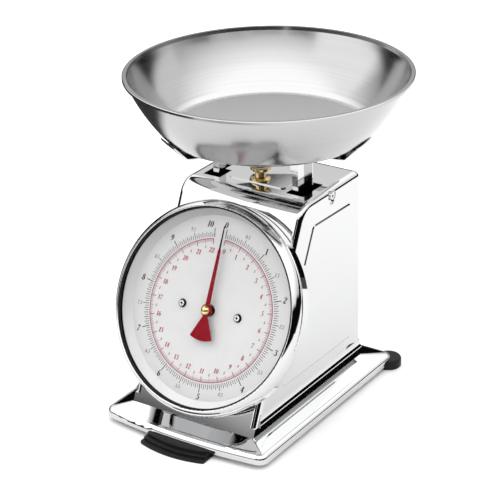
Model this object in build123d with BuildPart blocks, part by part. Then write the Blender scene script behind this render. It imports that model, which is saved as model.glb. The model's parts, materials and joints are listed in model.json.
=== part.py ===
from build123d import *
import math
import os

# Mechanical kitchen scale with a round dial, in millimetres.
# Origin on the table, under the middle of the overall box; +Z up, -Y towards the reader of the dial.

# ---- driving dimensions --------------------------------------------------------------------
SHEET = 1.0                 # pressed steel sheet
BODY_HALF_WIDTH = 63.1
BODY_TOP = 200.3
BODY_FLOOR = 25.0           # bottom edge of the housing, on the pedestal
BODY_REAR = 70.8
FACE_TILT = 24.5            # lean of the front face and of the dial, degrees from vertical
FACE_BEND = 18.0            # bend between the front face and the top
REAR_BEND = 7.0
EDGE_RADIUS = 5.5

BASE_HALF_WIDTH = 83.2
BASE_REAR = 98.2
BASE_FRONT = -130.4         # at the middle of the bowed front edge
BASE_FRONT_CORNER = -123.6
LIP_BOTTOM = 5.0
BAND_OUTER = 13.6
BAND_INNER = 17.6

DIAL_Y = -76.5
DIAL_Z = 109.05
FACE_OFFSET = -9.3          # front face of the housing, measured from the dial plate's face
LEAN = math.radians(FACE_TILT)
FACE_TOP_Y = DIAL_Y + (BODY_TOP - DIAL_Z) * math.tan(LEAN) - FACE_OFFSET / math.cos(LEAN)
DRUM_RISE = 2.0             # drum centre above the pointer axis, along the face
DRUM_RADIUS = 91.4
BEZEL_RADIUS = 92.5
GLASS_RADIUS = 88.0

BOWL_Y = 20.5
BOWL_RADIUS = 125.0
BOWL_RIM = 296.0
BOWL_DEPTH = 52.0
BOWL_SHEET = 0.9
BOWL_FLOOR_RADIUS = 90.2    # where the flat floor would meet the side

SUPPORT_TOP = 239.0         # flat top of the pan support; its pads reach the bowl
LEG_Y_FRONT = -3.1
LEG_Y_REAR = 14.4
LEG_OUTER = 43.6
LEG_BOTTOM = 84.0
LEG_SHEET = 1.2
LEG_FLANGE = 5.4            # width of the rear flange, outwards from the web
FLANGE_X = (38.1, 36.8, 32.5)   # inner edge of the front flange at its foot, middle and top
LEG_MID_Y = (LEG_Y_FRONT + LEG_Y_REAR) / 2

RACK_MODULE = 0.4
PINION_TEETH = 12
PINION_PITCH_RADIUS = RACK_MODULE * PINION_TEETH / 2
SWEEP = 350.0               # pointer sweep at full load, degrees
RACK_TRAVEL = math.radians(SWEEP) * PINION_PITCH_RADIUS
TRAVEL = RACK_TRAVEL / math.cos(LEAN)

LEVER_PIVOT_Y = 52.0
UPPER_PIVOT_Z = 168.0
LOWER_PIVOT_Z = 96.0

# ---- shared frames -------------------------------------------------------------------------
OUTWARD = Vector(0, -math.cos(LEAN), math.sin(LEAN))      # dial normal
UPSLOPE = Vector(0, math.sin(LEAN), math.cos(LEAN))       # up along the dial
DIAL_CENTRE = Vector(0, DIAL_Y, DIAL_Z)
DRUM_CENTRE = DIAL_CENTRE + UPSLOPE * DRUM_RISE
POINTER_AXIS = Axis(DIAL_CENTRE, OUTWARD)
DRUM_AXIS = Axis(DRUM_CENTRE, OUTWARD)
BOWL_AXIS = Axis((0, BOWL_Y, 0), (0, 0, 1))
DRUM_SECTION = Plane(origin=DRUM_CENTRE, x_dir=(1, 0, 0), z_dir=-UPSLOPE)
POINTER_SECTION = Plane(origin=DIAL_CENTRE, x_dir=(1, 0, 0), z_dir=-UPSLOPE)
BOWL_SECTION = Plane(origin=(0, BOWL_Y, 0), x_dir=(1, 0, 0), z_dir=(0, -1, 0))


def dial_plane(height):
    """Plane parallel to the dial, at a height in front of the dial plate's face."""
    return Plane(origin=DIAL_CENTRE + OUTWARD * height, x_dir=(1, 0, 0), z_dir=OUTWARD)


def drum_plane(height):
    """The same, centred on the drum."""
    return Plane(origin=DRUM_CENTRE + OUTWARD * height, x_dir=(1, 0, 0), z_dir=OUTWARD)


def save(piece, name):
    piece.label = name
    export_step(piece, f"parts/{name}.step")


def dome(radius, rise, at):
    """Height above its edge, at a distance from the axis, of a spherical dome."""
    ball = (radius ** 2 + rise ** 2) / (2 * rise)
    return math.sqrt(ball ** 2 - at ** 2) - ball + rise


def revolved(points, plane, axis):
    """Ring or disc turned from a closed outline of (radius, height) points."""
    with BuildPart() as ring:
        with BuildSketch(plane):
            with BuildLine():
                Polyline(*points, close=True)
            make_face()
        revolve(axis=axis)
    return ring.part


# ---- bowl ----------------------------------------------------------------------------------
def make_bowl():
    floor = BOWL_RIM - BOWL_DEPTH
    lip_in = 121.4
    with BuildPart() as bowl:
        with BuildSketch(BOWL_SECTION):
            with BuildLine():
                Line((0, floor - BOWL_SHEET), (BOWL_FLOOR_RADIUS + 0.4, floor - BOWL_SHEET))
                ThreePointArc((BOWL_FLOOR_RADIUS + 0.4, floor - BOWL_SHEET), (110.1, BOWL_RIM - 26.8),
                              (lip_in + 0.9, BOWL_RIM - 3.2))
                Line((lip_in + 0.9, BOWL_RIM - 3.2), (lip_in + 1.4, BOWL_RIM - 1.6))
                Line((lip_in + 1.4, BOWL_RIM - 1.6), (BOWL_RADIUS - 1.0, BOWL_RIM - 1.6))
                Line((BOWL_RADIUS - 1.0, BOWL_RIM - 1.6), (BOWL_RADIUS - 1.0, BOWL_RIM - 2.4))
                Line((BOWL_RADIUS - 1.0, BOWL_RIM - 2.4), (BOWL_RADIUS, BOWL_RIM - 2.4))
                Line((BOWL_RADIUS, BOWL_RIM - 2.4), (BOWL_RADIUS, BOWL_RIM - 0.4))
                Line((BOWL_RADIUS, BOWL_RIM - 0.4), (BOWL_RADIUS - 0.6, BOWL_RIM))
                Line((BOWL_RADIUS - 0.6, BOWL_RIM), (lip_in, BOWL_RIM))
                Line((lip_in, BOWL_RIM), (lip_in - 0.6, BOWL_RIM - 3.0))
                ThreePointArc((lip_in - 0.6, BOWL_RIM - 3.0), (109.0, BOWL_RIM - 26.4),
                              (BOWL_FLOOR_RADIUS - 0.6, floor))
                Line((BOWL_FLOOR_RADIUS - 0.6, floor), (0, floor))
                Line((0, floor), (0, floor - BOWL_SHEET))
            make_face()
        revolve(axis=BOWL_AXIS)
        inner = bowl.edges().filter_by(GeomType.CIRCLE).filter_by(
            lambda e: abs(e.radius - BOWL_FLOOR_RADIUS + 0.6) < 0.05)
        outer = bowl.edges().filter_by(GeomType.CIRCLE).filter_by(
            lambda e: abs(e.radius - BOWL_FLOOR_RADIUS - 0.4) < 0.05)
        fillet(inner, 11.0)
        fillet(outer, 11.9)
    save(bowl.part, "bowl")


# ---- pan support, legs and the moving frame ------------------------------------------------
PLATE_RADIUS = 66.0
ARM_ANGLES = [0, 120, 240]  # from the X axis
ARM_REACH = 100.0
ARM_WIDTH = 46.0
ARM_BEND = 88.0             # radius at which an arm turns up along the bowl's side
ARM_SLOPE = math.radians(47)
PAD_REACH = 59.0
PAD_HEIGHT = BOWL_RIM - BOWL_DEPTH - BOWL_SHEET - SUPPORT_TOP
LEG_TOP = SUPPORT_TOP - LEG_SHEET
RIVET_RADIUS = 1.6
RIVET_SPOTS = [(x, LEG_MID_Y + y) for x in (-35, 35) for y in (-3, 4)]
CROSSBAR_BOTTOM = 128.0
CROSSBAR_TOP = 138.0
CROSSBAR_Y = (LEG_Y_FRONT + LEG_SHEET, 12.0)
CROSSBAR_HALF = LEG_OUTER - LEG_SHEET
CROSSBAR_SCREW = (LEG_MID_Y, (CROSSBAR_BOTTOM + CROSSBAR_TOP) / 2 - 0.5)
SCREW_RADIUS = 2.0


def make_arm():
    """Round-ended arm along +X that lies under the bowl's floor and turns up beside its corner."""
    inner = ARM_BEND - LEG_SHEET * math.tan(ARM_SLOPE / 2)
    rise = math.tan(ARM_SLOPE)
    with BuildPart() as one_arm:
        with BuildSketch(Plane.XZ):
            with BuildLine():
                Polyline((PLATE_RADIUS - 10, LEG_TOP), (ARM_BEND, LEG_TOP),
                         (ARM_REACH, LEG_TOP + (ARM_REACH - ARM_BEND) * rise),
                         (ARM_REACH, SUPPORT_TOP + (ARM_REACH - inner) * rise), (inner, SUPPORT_TOP),
                         (PLATE_RADIUS - 10, SUPPORT_TOP), close=True)
            make_face()
        extrude(amount=ARM_WIDTH / 2, both=True)
        with BuildSketch(Plane.XY.offset(LEG_TOP)):
            with Locations(((PLATE_RADIUS - 10 + ARM_REACH - ARM_WIDTH / 2) / 2, 0)):
                Rectangle(ARM_REACH - ARM_WIDTH / 2 - PLATE_RADIUS + 10, ARM_WIDTH)
            with Locations((ARM_REACH - ARM_WIDTH / 2, 0)):
                Circle(ARM_WIDTH / 2)
        extrude(amount=BOWL_DEPTH, mode=Mode.INTERSECT)
    return one_arm.part


def make_pan_support():
    """Round pressed plate with three arms and a raised pad in line with each."""
    with BuildPart() as pan_support:
        with BuildSketch(Plane.XY.offset(LEG_TOP)):
            with Locations((0, BOWL_Y)):
                Circle(PLATE_RADIUS)
        extrude(amount=LEG_SHEET)
        one_arm = make_arm()
        for angle in ARM_ANGLES:
            add(Pos(0, BOWL_Y) * Rot(0, 0, angle) * one_arm)
        with BuildSketch(Plane.XY.offset(SUPPORT_TOP)):
            for angle in ARM_ANGLES:
                with Locations(Pos(0, BOWL_Y) * Rot(0, 0, angle) * Pos(PAD_REACH, 0)):
                    SlotOverall(34, 9)
        extrude(amount=PAD_HEIGHT, taper=20)
        with BuildSketch(Plane.XY.offset(LEG_TOP)):
            with Locations(*RIVET_SPOTS):
                Circle(RIVET_RADIUS)
        extrude(amount=LEG_SHEET, mode=Mode.SUBTRACT)
    save(pan_support.part, "pan_support")


def leg(side):
    """Z-section leg: web along Y, a front flange that widens upwards, a narrow rear flange."""
    web_in = LEG_OUTER - LEG_SHEET
    slot_z = BODY_TOP
    foot, middle, head = FLANGE_X
    with BuildPart() as one_leg:
        with BuildSketch(Plane.XY.offset(LEG_BOTTOM)):
            with Locations((side * (web_in + LEG_SHEET / 2), LEG_MID_Y)):
                Rectangle(LEG_SHEET, LEG_Y_REAR - LEG_Y_FRONT)
        extrude(amount=LEG_TOP - LEG_BOTTOM)
        with BuildSketch(Plane.XZ.offset(-LEG_Y_FRONT)):
            with BuildLine():
                Polyline((side * LEG_OUTER, LEG_TOP), (side * LEG_OUTER, LEG_BOTTOM),
                         (side * foot, LEG_BOTTOM), (side * foot, slot_z))
                ThreePointArc((side * foot, slot_z), (side * middle, slot_z + 18), (side * head, LEG_TOP))
                Line((side * head, LEG_TOP), (side * LEG_OUTER, LEG_TOP))
            make_face()
        extrude(amount=-LEG_SHEET)
        with BuildSketch(Plane.XY.offset(LEG_BOTTOM)):
            with Locations((side * (web_in + LEG_FLANGE / 2), LEG_Y_REAR - LEG_SHEET / 2)):
                Rectangle(LEG_FLANGE, LEG_SHEET)
        extrude(amount=LEG_TOP - LEG_BOTTOM)
        with BuildSketch(Plane.XY.offset(LEG_TOP - LEG_SHEET)):
            with Locations((side * (web_in - 7.5), LEG_MID_Y + LEG_SHEET / 2)):
                Rectangle(15, LEG_Y_REAR - LEG_Y_FRONT - LEG_SHEET)
        extrude(amount=LEG_SHEET)
        with BuildSketch(Plane.XY.offset(LEG_TOP)):
            with Locations(*RIVET_SPOTS):
                Circle(RIVET_RADIUS)
        extrude(amount=-LEG_SHEET, mode=Mode.SUBTRACT)
        with BuildSketch(Plane.YZ.offset(side * LEG_OUTER)):
            with Locations(CROSSBAR_SCREW):
                Circle(SCREW_RADIUS)
        extrude(amount=-side * LEG_SHEET, mode=Mode.SUBTRACT)
    return one_leg.part


def make_legs():
    save(leg(-1), "left_leg")
    save(leg(1), "right_leg")


PLUG_X = 24.0
PLUG_RADIUS = 4.7
HANGER_BOTTOM = 184.0
HANGER_TOP = 187.0
COIL_RADIUS = 5.8
WIRE_RADIUS = 1.0
COIL_TURNS = 14
HANGER_DROP = 1.0           # how far the zero adjustment can lower the hanger and its springs
PIN_RADIUS = 2.0
LEVER_ARM_X = 51.8          # inner face of each lever arm
LEVER_SHEET = 1.5
PIN_HEIGHTS = [UPPER_PIVOT_Z + TRAVEL / 2, LOWER_PIVOT_Z + TRAVEL / 2]


def make_leg_rivets():
    """Four rivets that hold the pan support on the tabs of the legs."""
    with BuildPart() as leg_rivets:
        with BuildSketch(Plane.XY.offset(LEG_TOP - LEG_SHEET)):
            with Locations(*RIVET_SPOTS):
                Circle(RIVET_RADIUS)
        extrude(amount=2 * LEG_SHEET)
        with BuildSketch(Plane.XY.offset(SUPPORT_TOP)):
            with Locations(*RIVET_SPOTS):
                Circle(3.0)
        extrude(amount=1.2, taper=25)
        with BuildSketch(Plane.XY.offset(LEG_TOP - LEG_SHEET)):
            with Locations(*RIVET_SPOTS):
                Circle(3.0)
        extrude(amount=-1.0, taper=25)
    save(leg_rivets.part, "leg_rivets")


def make_crossbar():
    """Channel between the legs that the springs pull on, with a screw at each end."""
    y0, y1 = CROSSBAR_Y
    height = CROSSBAR_TOP - CROSSBAR_BOTTOM
    with BuildPart() as crossbar:
        with BuildSketch(Plane.XY.offset(CROSSBAR_BOTTOM)):
            with Locations((0, (y0 + y1) / 2)):
                Rectangle(2 * CROSSBAR_HALF, y1 - y0)
        extrude(amount=height)
        with BuildSketch(Plane.XY.offset(CROSSBAR_BOTTOM)):
            with Locations((0, (y0 + y1) / 2)):
                Rectangle(2 * CROSSBAR_HALF - 8, y1 - y0 - 2.4)
        extrude(amount=height - 1.5, mode=Mode.SUBTRACT)
        with BuildSketch(Plane.YZ.offset(-CROSSBAR_HALF)):
            with Locations(CROSSBAR_SCREW):
                Circle(SCREW_RADIUS)
        extrude(amount=2 * CROSSBAR_HALF, mode=Mode.SUBTRACT)
    save(crossbar.part, "crossbar")
    with BuildPart() as crossbar_screws:
        for side in (-1, 1):
            with BuildSketch(Plane.YZ.offset(side * LEG_OUTER)):
                with Locations(CROSSBAR_SCREW):
                    Circle(3.4)
            extrude(amount=side * 1.8)
            with BuildSketch(Plane.YZ.offset(side * LEG_OUTER)):
                with Locations(CROSSBAR_SCREW):
                    Circle(SCREW_RADIUS)
            extrude(amount=-side * 6.0)
    save(crossbar_screws.part, "crossbar_screws")


def spring_plugs(bottom, top):
    with BuildPart() as plugs:
        with BuildSketch(Plane.XY.offset(bottom)):
            with Locations((-PLUG_X, LEG_MID_Y), (PLUG_X, LEG_MID_Y)):
                Circle(PLUG_RADIUS)
        extrude(amount=top - bottom)
    return plugs.part


def make_springs():
    save(spring_plugs(CROSSBAR_TOP, CROSSBAR_TOP + 8), "lower_spring_plugs")
    save(spring_plugs(HANGER_BOTTOM - 8, HANGER_BOTTOM), "upper_spring_plugs")
    start = CROSSBAR_TOP + HANGER_DROP + WIRE_RADIUS + 0.3
    height = HANGER_BOTTOM - 0.1 - WIRE_RADIUS - start
    for side, name in ((-1, "left_spring"), (1, "right_spring")):
        centre = Vector(side * PLUG_X, LEG_MID_Y, start)
        with BuildPart() as spring:
            with BuildLine():
                coil = Helix(height / COIL_TURNS, height, COIL_RADIUS, center=centre)
            with BuildSketch(Plane(origin=coil @ 0, z_dir=coil % 0)):
                Circle(WIRE_RADIUS)
            sweep(path=coil, is_frenet=True)
        save(spring.part, name)


def make_hanger():
    """Bridge that carries both springs, hung on the zero-adjusting spindle."""
    with BuildPart() as spring_hanger:
        with BuildSketch(Plane.XY.offset(HANGER_BOTTOM)):
            with Locations((0, LEG_MID_Y)):
                SlotOverall(64, 12)
        extrude(amount=HANGER_TOP - HANGER_BOTTOM)
        with BuildSketch(Plane.XY.offset(HANGER_BOTTOM)):
            with Locations((0, LEG_MID_Y)):
                Circle(4.6)
        extrude(amount=-6)
        with BuildSketch(Plane.XY.offset(HANGER_TOP)):
            with Locations((0, LEG_MID_Y)):
                Circle(SPINDLE_RADIUS + 0.05)
        extrude(amount=-9, mode=Mode.SUBTRACT)
    save(spring_hanger.part, "spring_hanger")


def make_leg_pins():
    """Stub pins on the legs that run in the slotted ends of the levers."""
    with BuildPart() as leg_pins:
        for side in (-1, 1):
            for height in PIN_HEIGHTS:
                with BuildSketch(Plane.YZ.offset(side * LEG_OUTER)):
                    with Locations((LEG_MID_Y, height)):
                        Circle(3.4)
                extrude(amount=side * 1.2)
                with BuildSketch(Plane.YZ.offset(side * LEG_OUTER)):
                    with Locations((LEG_MID_Y, height)):
                        Circle(PIN_RADIUS)
                extrude(amount=side * (LEVER_ARM_X + LEVER_SHEET + 1.3 - LEG_OUTER))
    save(leg_pins.part, "leg_pins")


# ---- levers --------------------------------------------------------------------------------
LEVER_REACH = math.hypot(LEVER_PIVOT_Y - LEG_MID_Y, TRAVEL / 2)
LEVER_REST = math.degrees(math.atan2(TRAVEL / 2, LEVER_PIVOT_Y - LEG_MID_Y))
LEVER_SLACK = LEVER_REACH - (LEVER_PIVOT_Y - LEG_MID_Y)


def lever(pivot_z):
    """Two slotted arms on one tie; the slots take the legs' sideways drift over the travel."""
    frame = Plane(origin=(0, LEVER_PIVOT_Y, pivot_z), x_dir=(0, -1, 0), z_dir=(1, 0, 0))
    frame = frame.rotated((0, 0, -LEVER_REST))
    with BuildPart() as strap:
        for side in (-1, 1):
            arm = Plane(origin=frame.origin + Vector(side * LEVER_ARM_X, 0, 0),
                        x_dir=frame.x_dir, z_dir=(1, 0, 0))
            with BuildSketch(arm):
                with Locations((LEVER_REACH / 2, 0)):
                    SlotOverall(LEVER_REACH + 12, 10)
                Circle(PIN_RADIUS + 0.05, mode=Mode.SUBTRACT)
                with Locations((LEVER_REACH - LEVER_SLACK / 2, 0)):
                    SlotOverall(2 * (PIN_RADIUS + 0.15) + LEVER_SLACK + 0.6, 2 * (PIN_RADIUS + 0.15),
                                mode=Mode.SUBTRACT)
            extrude(amount=side * LEVER_SHEET)
        tie = Plane(origin=frame.origin - Vector(LEVER_ARM_X, 0, 0), x_dir=frame.x_dir, z_dir=(1, 0, 0))
        with BuildSketch(tie):
            with Locations((9, 0)):
                Rectangle(5, 6)
        extrude(amount=2 * LEVER_ARM_X)
    return strap.part


def make_levers():
    for name, pivot_z in (("upper", UPPER_PIVOT_Z), ("lower", LOWER_PIVOT_Z)):
        save(lever(pivot_z), f"{name}_lever")
        with BuildPart() as pin:
            with BuildSketch(Plane.YZ.offset(-CHASSIS_HALF - 1.5)):
                with Locations((LEVER_PIVOT_Y, pivot_z)):
                    Circle(PIN_RADIUS)
            extrude(amount=2 * CHASSIS_HALF + 3)
        save(pin.part, f"{name}_pivot_pin")


# ---- chassis -------------------------------------------------------------------------------
CHASSIS_SHEET = 1.5
CHASSIS_HALF = 57.5
CHASSIS_FRONT = -20.0
CHASSIS_REAR = 59.5
TONGUE_BOTTOM = 192.0
SIDE_SCREW_Y = 20.3
SIDE_SCREW_Z = 195.0


def make_chassis():
    """Folded frame: foot flange, two side plates, a back plate and a tongue for the spindle."""
    depth = CHASSIS_REAR - CHASSIS_FRONT
    mid_y = (CHASSIS_REAR + CHASSIS_FRONT) / 2
    with BuildPart() as chassis:
        with BuildSketch(Plane.XY.offset(BODY_FLOOR)):
            with Locations((0, mid_y)):
                Rectangle(2 * CHASSIS_HALF, depth)
            with Locations((0, mid_y - 4)):
                RectangleRounded(80, 50, 6, mode=Mode.SUBTRACT)
            with Locations((-48, mid_y - 30), (48, mid_y - 30), (-48, mid_y + 30), (48, mid_y + 30)):
                Circle(2.0, mode=Mode.SUBTRACT)
        extrude(amount=CHASSIS_SHEET)
        for side in (-1, 1):
            with BuildSketch(Plane.YZ.offset(side * CHASSIS_HALF)):
                with BuildLine():
                    Polyline((CHASSIS_FRONT, BODY_FLOOR + CHASSIS_SHEET), (CHASSIS_FRONT, 60), (0, 150),
                             (SIDE_SCREW_Y - 6, 184), (SIDE_SCREW_Y - 6, 198.2), (SIDE_SCREW_Y + 6, 198.2),
                             (SIDE_SCREW_Y + 6, 190), (CHASSIS_REAR, 190),
                             (CHASSIS_REAR, BODY_FLOOR + CHASSIS_SHEET), close=True)
                make_face()
                with Locations((LEVER_PIVOT_Y, UPPER_PIVOT_Z), (LEVER_PIVOT_Y, LOWER_PIVOT_Z)):
                    Circle(PIN_RADIUS, mode=Mode.SUBTRACT)
                with Locations((SIDE_SCREW_Y, SIDE_SCREW_Z - 1)):
                    Circle(1.7, mode=Mode.SUBTRACT)
                with Locations((24, 80)):
                    RectangleRounded(44, 60, 6, mode=Mode.SUBTRACT)
            extrude(amount=-side * CHASSIS_SHEET)
        with Locations((0, CHASSIS_REAR - CHASSIS_SHEET / 2, (BODY_FLOOR + CHASSIS_SHEET + 190) / 2)):
            Box(2 * (CHASSIS_HALF - CHASSIS_SHEET), CHASSIS_SHEET, 190 - BODY_FLOOR - CHASSIS_SHEET)
        with Locations((0, CHASSIS_REAR - CHASSIS_SHEET / 2, 191.75)):
            Box(36, CHASSIS_SHEET, 3.5)
        with BuildSketch(Plane.XY.offset(TONGUE_BOTTOM)):
            with Locations((0, (CHASSIS_REAR - 6) / 2)):
                Rectangle(36, CHASSIS_REAR + 6)
            with Locations((0, LEG_MID_Y)):
                Circle(5.0, mode=Mode.SUBTRACT)
        extrude(amount=CHASSIS_SHEET)
    save(chassis.part, "chassis")
    with BuildPart() as chassis_screws:
        for x in (-48, 48):
            for y in (mid_y - 30, mid_y + 30):
                with BuildSketch(Plane.XY.offset(BODY_FLOOR + CHASSIS_SHEET)):
                    with Locations((x, y)):
                        Circle(3.6)
                extrude(amount=2.0)
                with BuildSketch(Plane.XY.offset(BODY_FLOOR)):
                    with Locations((x, y)):
                        Circle(2.0)
                extrude(amount=CHASSIS_SHEET)
    save(chassis_screws.part, "chassis_screws")


# ---- zero adjuster -------------------------------------------------------------------------
SPINDLE_RADIUS = 1.95
PLATEAU_TOP = 201.2
KNOB_BOTTOM = PLATEAU_TOP + 0.3
KNOB_STEM_RADIUS = 4.8
KNOB_FOOT_RADIUS = 8.6
KNOB_RADIUS = 9.2
KNOB_HEIGHT = 12.0


def make_adjuster():
    top = KNOB_BOTTOM + KNOB_HEIGHT
    section = Plane(origin=(0, LEG_MID_Y, 0), x_dir=(1, 0, 0), z_dir=(0, -1, 0))
    axis = Axis((0, LEG_MID_Y, 0), (0, 0, 1))
    knob_outline = [(SPINDLE_RADIUS, KNOB_BOTTOM), (KNOB_FOOT_RADIUS, KNOB_BOTTOM),
                    (KNOB_FOOT_RADIUS, KNOB_BOTTOM + 1.0), (KNOB_STEM_RADIUS, KNOB_BOTTOM + 1.4),
                    (KNOB_STEM_RADIUS, top - 4.6), (KNOB_RADIUS - 1.2, top - 3.4),
                    (KNOB_RADIUS, top - 2.2), (KNOB_RADIUS, top - 0.5), (KNOB_RADIUS - 0.6, top),
                    (4.6, top), (4.2, top - 1.4), (SPINDLE_RADIUS, top - 1.4)]
    save(revolved(knob_outline, section, axis), "adjust_knob")
    with BuildPart() as adjust_spindle:
        with BuildSketch(Plane.XY.offset(HANGER_BOTTOM - 5)):
            with Locations((0, LEG_MID_Y)):
                Circle(SPINDLE_RADIUS)
        extrude(amount=top - 1.4 - HANGER_BOTTOM + 5)
        with BuildSketch(Plane.XY.offset(top - 1.4)):
            with Locations((0, LEG_MID_Y)):
                Circle(3.6)
        extrude(amount=1.7)
        with Locations((0, LEG_MID_Y, top + 0.3)):
            Box(8, 1.0, 1.6, mode=Mode.SUBTRACT)
        for z0, z1 in ((TONGUE_BOTTOM - 3.6, TONGUE_BOTTOM - 2.1), (TONGUE_BOTTOM + 3.7, TONGUE_BOTTOM + 5.2)):
            with BuildSketch(Plane.XY.offset(z0)):
                with Locations((0, LEG_MID_Y)):
                    Circle(3.2)
            extrude(amount=z1 - z0)
    save(adjust_spindle.part, "adjust_spindle")
    bush_outline = [(SPINDLE_RADIUS + 0.05, TONGUE_BOTTOM - 2), (5.0, TONGUE_BOTTOM - 2),
                    (5.0, TONGUE_BOTTOM + CHASSIS_SHEET), (7.0, TONGUE_BOTTOM + CHASSIS_SHEET),
                    (7.0, TONGUE_BOTTOM + 3.5), (SPINDLE_RADIUS + 0.05, TONGUE_BOTTOM + 3.5)]
    save(revolved(bush_outline, section, axis), "spindle_bush")


# ---- dial movement -------------------------------------------------------------------------
RACK_FRONT = -19.5          # front face of the rack at no load, from the dial plate
RACK_SHEET = 2.5
RACK_BACK = 8.6
RACK_LOW = -3.5
RACK_HIGH = 36.0
SHAFT_RADIUS = 1.25
TOOTH_PITCH = math.pi * RACK_MODULE
ADDENDUM = 0.8 * RACK_MODULE
DEDENDUM = 1.25 * RACK_MODULE
BACKLASH = 0.22
MESH_GAP = 0.04
ARM_Y = (-50.0, CROSSBAR_Y[0])


def make_pinion():
    tip = PINION_PITCH_RADIUS + ADDENDUM
    root = PINION_PITCH_RADIUS - DEDENDUM
    half_root = (TOOTH_PITCH / 2 - BACKLASH) / 2 + 0.10
    half_pitch = (TOOTH_PITCH / 2 - BACKLASH) / 2
    half_tip = half_pitch - 0.13
    with BuildPart() as pinion:
        with BuildSketch(dial_plane(-30.5)):
            Circle(root)
            for k in range(PINION_TEETH):
                turn = Rot(0, 0, (k + 0.5) * 360 / PINION_TEETH)
                with BuildLine(mode=Mode.PRIVATE) as tooth:
                    Polyline((root - 0.2, -half_root), (PINION_PITCH_RADIUS, -half_pitch), (tip, -half_tip),
                             (tip, half_tip), (PINION_PITCH_RADIUS, half_pitch), (root - 0.2, half_root),
                             close=True)
                add(turn * make_face(tooth.edges(), mode=Mode.PRIVATE))
            Circle(SHAFT_RADIUS, mode=Mode.SUBTRACT)
        extrude(amount=13.0)
    save(pinion.part, "pinion")


def make_rack():
    """Toothed bar beside the pinion; its teeth reach from the pinion to one full travel above."""
    pitch_x = PINION_PITCH_RADIUS + MESH_GAP
    half = (TOOTH_PITCH / 2 - BACKLASH) / 2
    rise = math.tan(math.radians(20))
    first = math.ceil((RACK_LOW + 1.0) / TOOTH_PITCH)
    count = int((RACK_TRAVEL + 5.0) / TOOTH_PITCH)
    with BuildPart() as rack:
        with BuildSketch(dial_plane(RACK_FRONT - RACK_SHEET)):
            with Locations(((pitch_x + DEDENDUM + RACK_BACK) / 2, (RACK_LOW + RACK_HIGH) / 2)):
                Rectangle(RACK_BACK - pitch_x - DEDENDUM, RACK_HIGH - RACK_LOW)
            for k in range(first, first + count):
                centre = k * TOOTH_PITCH
                with BuildLine(mode=Mode.PRIVATE) as tooth:
                    Polyline((pitch_x + DEDENDUM + 0.1, centre - half - (DEDENDUM + 0.1) * rise),
                             (pitch_x - ADDENDUM, centre - half + ADDENDUM * rise),
                             (pitch_x - ADDENDUM, centre + half - ADDENDUM * rise),
                             (pitch_x + DEDENDUM + 0.1, centre + half + (DEDENDUM + 0.1) * rise), close=True)
                add(make_face(tooth.edges(), mode=Mode.PRIVATE))
        extrude(amount=RACK_SHEET)
    save(rack.part, "rack")
    y0, y1 = ARM_Y
    with BuildPart() as rack_arm:
        with BuildSketch(Plane.YZ.offset(RACK_BACK)):
            with BuildLine():
                Polyline((y0, 122), (y0, 136), (y1, 138), (y1, CROSSBAR_BOTTOM), (y0 + 14, 122), close=True)
            make_face()
        extrude(amount=2.0)
        with Locations((RACK_BACK + 1 - 6, y1 - 0.75, 133)):
            Box(14, 1.5, 10)
    save(rack_arm.part, "rack_arm")
    with BuildPart() as rack_rivets:
        for height in (28.0, 33.0):
            spot = DIAL_CENTRE + UPSLOPE * height + OUTWARD * (RACK_FRONT - RACK_SHEET / 2)
            with BuildSketch(Plane(origin=(RACK_BACK + 2, spot.Y, spot.Z), x_dir=(0, 1, 0), z_dir=(1, 0, 0))):
                Circle(1.1)
            extrude(amount=1.0)
    save(rack_rivets.part, "rack_rivets")


def make_gear_bracket():
    inner_face = FACE_OFFSET - SHEET
    with BuildPart() as gear_bracket:
        for low, high in ((-15.0, -13.5), (-34.0, -32.5)):
            with BuildSketch(dial_plane(low)):
                with Locations((0, -5.5)):
                    Rectangle(32, 21)
                Circle(4.0, mode=Mode.SUBTRACT)
            extrude(amount=high - low)
        for side in (-1, 1):
            with BuildSketch(dial_plane(-34.0)):
                with Locations((side * 16.75, -5.5)):
                    Rectangle(1.5, 21)
            extrude(amount=34.0 + inner_face)
            with BuildSketch(dial_plane(inner_face)):
                with Locations((side * 22.5, -5.5)):
                    Rectangle(10, 21)
                with Locations((side * 23, -5.5)):
                    Circle(1.7, mode=Mode.SUBTRACT)
            extrude(amount=-1.5)
    save(gear_bracket.part, "gear_bracket")
    with BuildPart() as bracket_screws:
        with BuildSketch(dial_plane(inner_face)):
            with Locations((-23, -5.5), (23, -5.5)):
                Circle(1.7)
        extrude(amount=-1.5)
        with BuildSketch(dial_plane(inner_face - 1.5)):
            with Locations((-23, -5.5), (23, -5.5)):
                Circle(3.2)
        extrude(amount=-1.8)
    save(bracket_screws.part, "bracket_screws")
    for name, low, high in (("front_bush", -16.5, -12.5), ("rear_bush", -35.5, -31.5)):
        outline = [(SHAFT_RADIUS + 0.05, low), (4.0, low), (4.0, high), (SHAFT_RADIUS + 0.05, high)]
        save(revolved(outline, POINTER_SECTION, POINTER_AXIS), name)


POINTER_BACK = 5.2
POINTER_SHEET = 0.7
POINTER_TIP = 73.4
NUT_TOP = 11.0
NUT_RADIUS = 4.1
NUT_DOME = 2.9


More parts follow.
